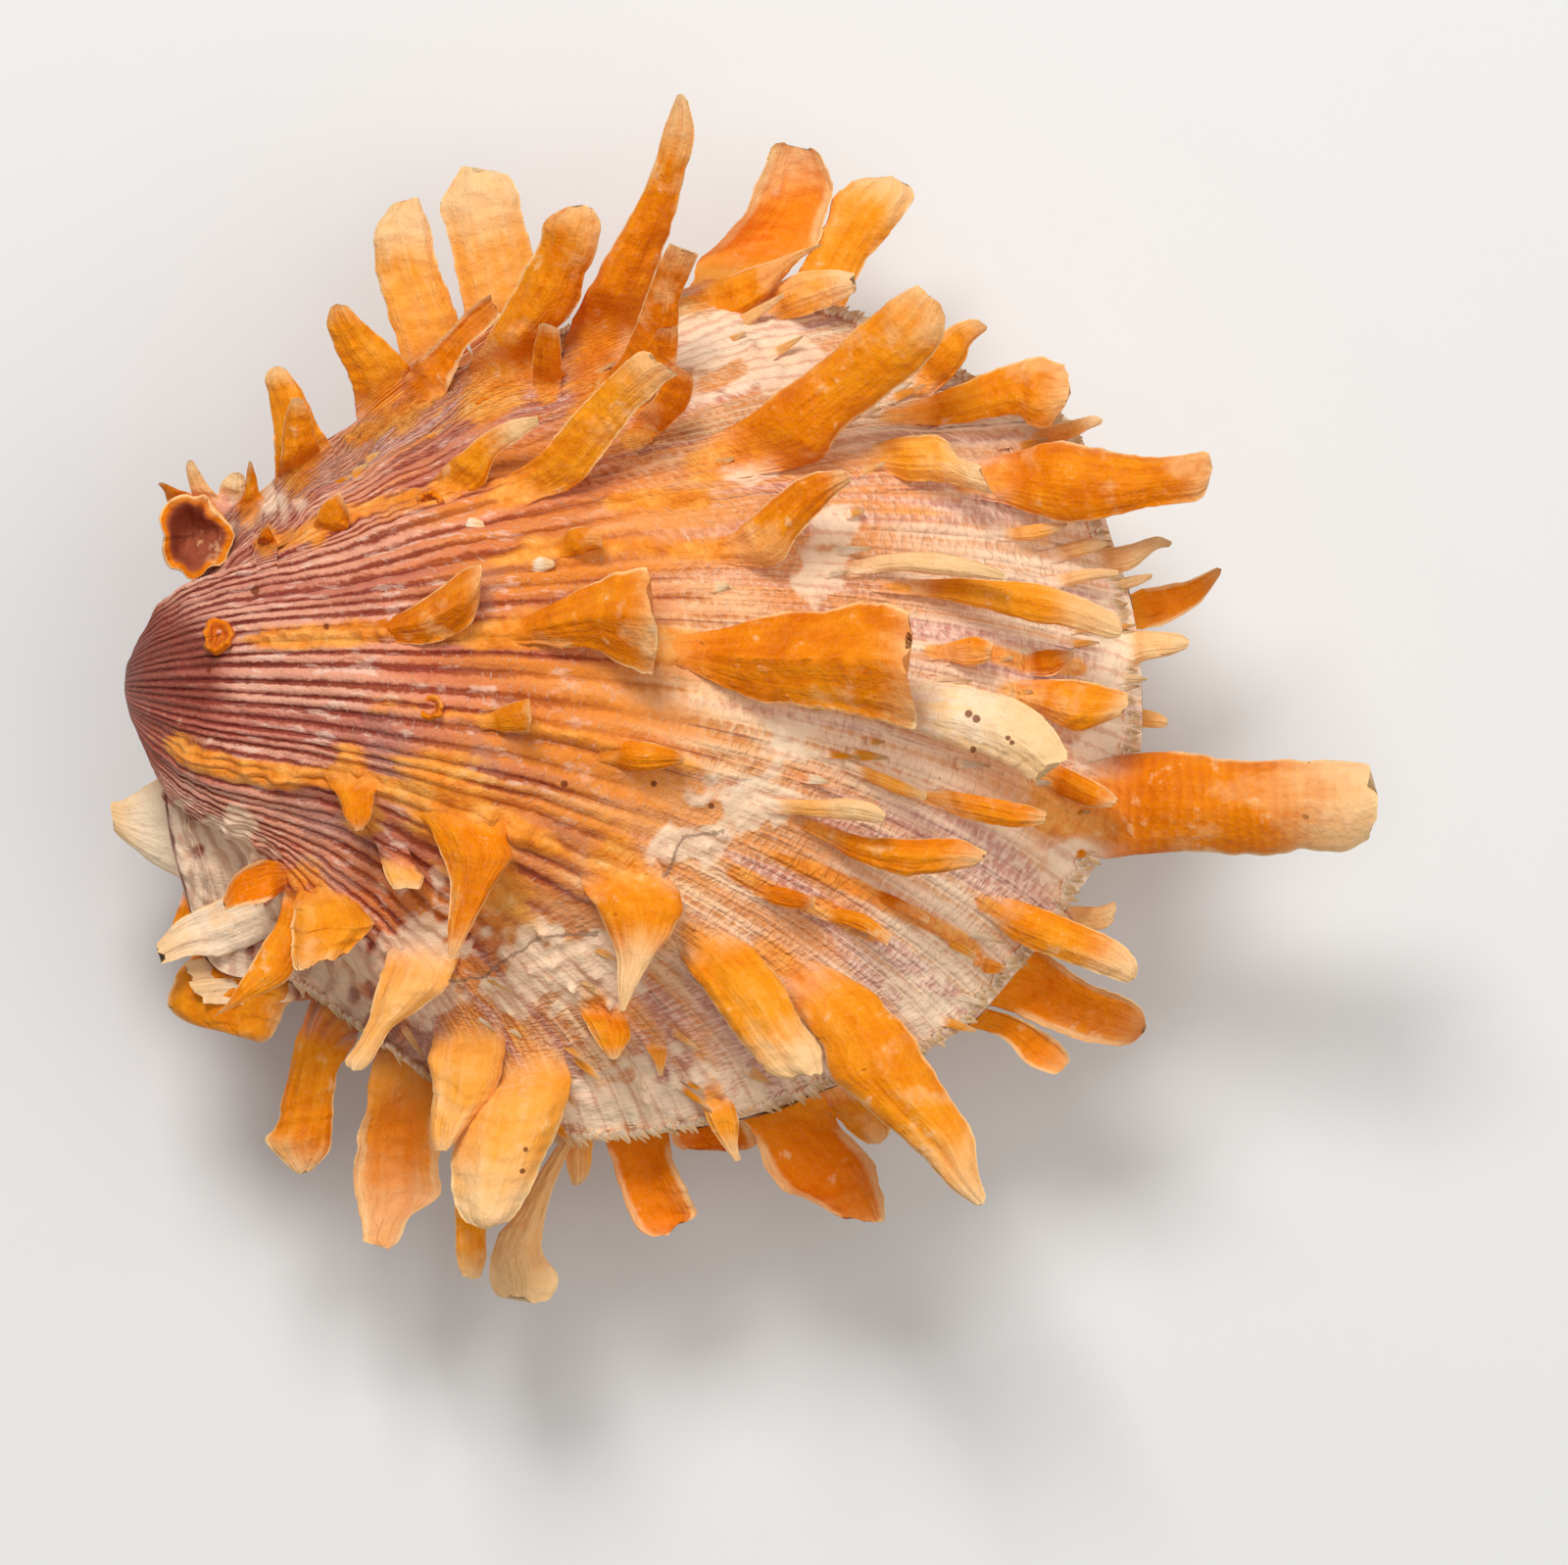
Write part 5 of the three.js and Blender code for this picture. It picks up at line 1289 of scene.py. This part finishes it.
def underside_spines():
    made = []
    for k, (degrees, root_stage, length, width) in enumerate(UNDERSIDE_SPINES):
        out = np.array([math.cos(math.radians(degrees)), math.sin(math.radians(degrees))])
        reach = 5.0
        while stage_at(*(UNDERSIDE_CENTRE + out * reach), False)[0] < root_stage:
            reach += 0.5
        root = UNDERSIDE_CENTRE + out * (reach - 1.5)
        outline = across_from(*root, degrees, length, width)
        made.append(shape_spine(f"under_{k}", -length * UNDERSIDE_DROP, 0.4, 0.3, outline, "under", True))
    return made


upper_skin = skin("upper_shell", upper_point, UPPER_SKIN_STEPS, listed(UPPER_SPINES), True)
upper_spines = join(spines_of(UPPER_SPINES, LARGE_FORMS, False), "upper_spines")
ear_cup = shape_cup("ear_cup", EAR_CUP_WALL, EAR_CUP_PLACE, EAR_CUP_STRETCH, EAR_CUP_LEAN)
upper_small_spines = join(
    spines_of(UPPER_SPINES, SMALL_FORMS, False) + [ear_cup] + rings() + edge_teeth() + rib_scales(),
    "upper_small_spines")
for spines in (upper_spines, upper_small_spines):
    take_skin_marks(spines, listed(UPPER_SPINES), True)
lower_skin = skin("lower_shell", lower_point, LOWER_SKIN_STEPS, listed(LOWER_SPINES), False)
lower_spines = join(spines_of(LOWER_SPINES, FORMS, True) + underside_spines(), "lower_spines")
take_skin_marks(lower_spines, listed(LOWER_SPINES), False)
for bar in BLANKS.values():
    bpy.data.objects.remove(bar)

upper_material = ShellFinish("upper_valve_finish").material
lower_material = ShellFinish("lower_valve_finish").material
for piece, node, material in (
    (upper_skin, "upper_valve", upper_material),
    (upper_spines, "upper_valve", upper_material),
    (upper_small_spines, "upper_valve", upper_material),
    (lower_skin, "lower_valve", lower_material),
    (lower_spines, "lower_valve", lower_material),
):
    piece.data.materials.clear()
    piece.data.materials.append(material)
    start_clean()
    piece.select_set(True)
    bpy.context.view_layer.objects.active = piece
    bpy.ops.object.shade_smooth_by_angle(angle=math.radians(50))
    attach(piece, "root")
    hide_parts(node)


# Floor, lights and camera, in metres
LAMPS = (
    ("key", (-0.15, 0.5, 0.8), 0.3, 6.2), ("fill", (0.7, -0.1, 0.6), 0.9, 2.3), ("top", (0.2, 0.0, 1.2), 0.6, 2.2))
LAMP_AIM = Vector((0.01, -0.005, 0.03))
LENS, SENSOR = 450.0, 36.0
VIEW_WIDTH, VIEW_MIDDLE, FOCUS_HEIGHT = 0.16, (0.015, -0.00985), 0.036


def studio():
    start_clean()
    bpy.ops.mesh.primitive_plane_add(size=3, location=(0, 0, 0))
    floor = bpy.context.object
    floor.name = "floor"
    paper = Finish("pale_floor")
    paper.connect(Base_Color=paper.ramp(paper.noise(3.0), (0.0, (0.72, 0.72, 0.71)), (1.0, (0.78, 0.78, 0.77))))
    paper.shader.inputs["Roughness"].default_value = 0.8
    floor.data.materials.append(paper.material)

    for name, place, size, power in LAMPS:
        lamp = bpy.data.lights.new(name, "AREA")
        lamp.size, lamp.energy = size, power
        holder = bpy.data.objects.new(name, lamp)
        bpy.context.scene.collection.objects.link(holder)
        holder.location = place
        holder.rotation_euler = (LAMP_AIM - holder.location).to_track_quat("-Z", "Y").to_euler()

    world = bpy.data.worlds.new("soft_room")
    bpy.context.scene.world = world
    world.use_nodes = True
    world.node_tree.nodes["Background"].inputs["Color"].default_value = (1.0, 0.98, 0.95, 1)
    world.node_tree.nodes["Background"].inputs["Strength"].default_value = 0.3
    bpy.context.scene.view_settings.view_transform = "Standard"

    lens = bpy.data.cameras.new("camera")
    camera = bpy.data.objects.new("camera", lens)
    bpy.context.scene.collection.objects.link(camera)
    lens.sensor_width, lens.lens = SENSOR, LENS
    lens.clip_end = 10
    camera.location = (*VIEW_MIDDLE, FOCUS_HEIGHT + VIEW_WIDTH * LENS / SENSOR)
    bpy.context.scene.camera = camera


studio()
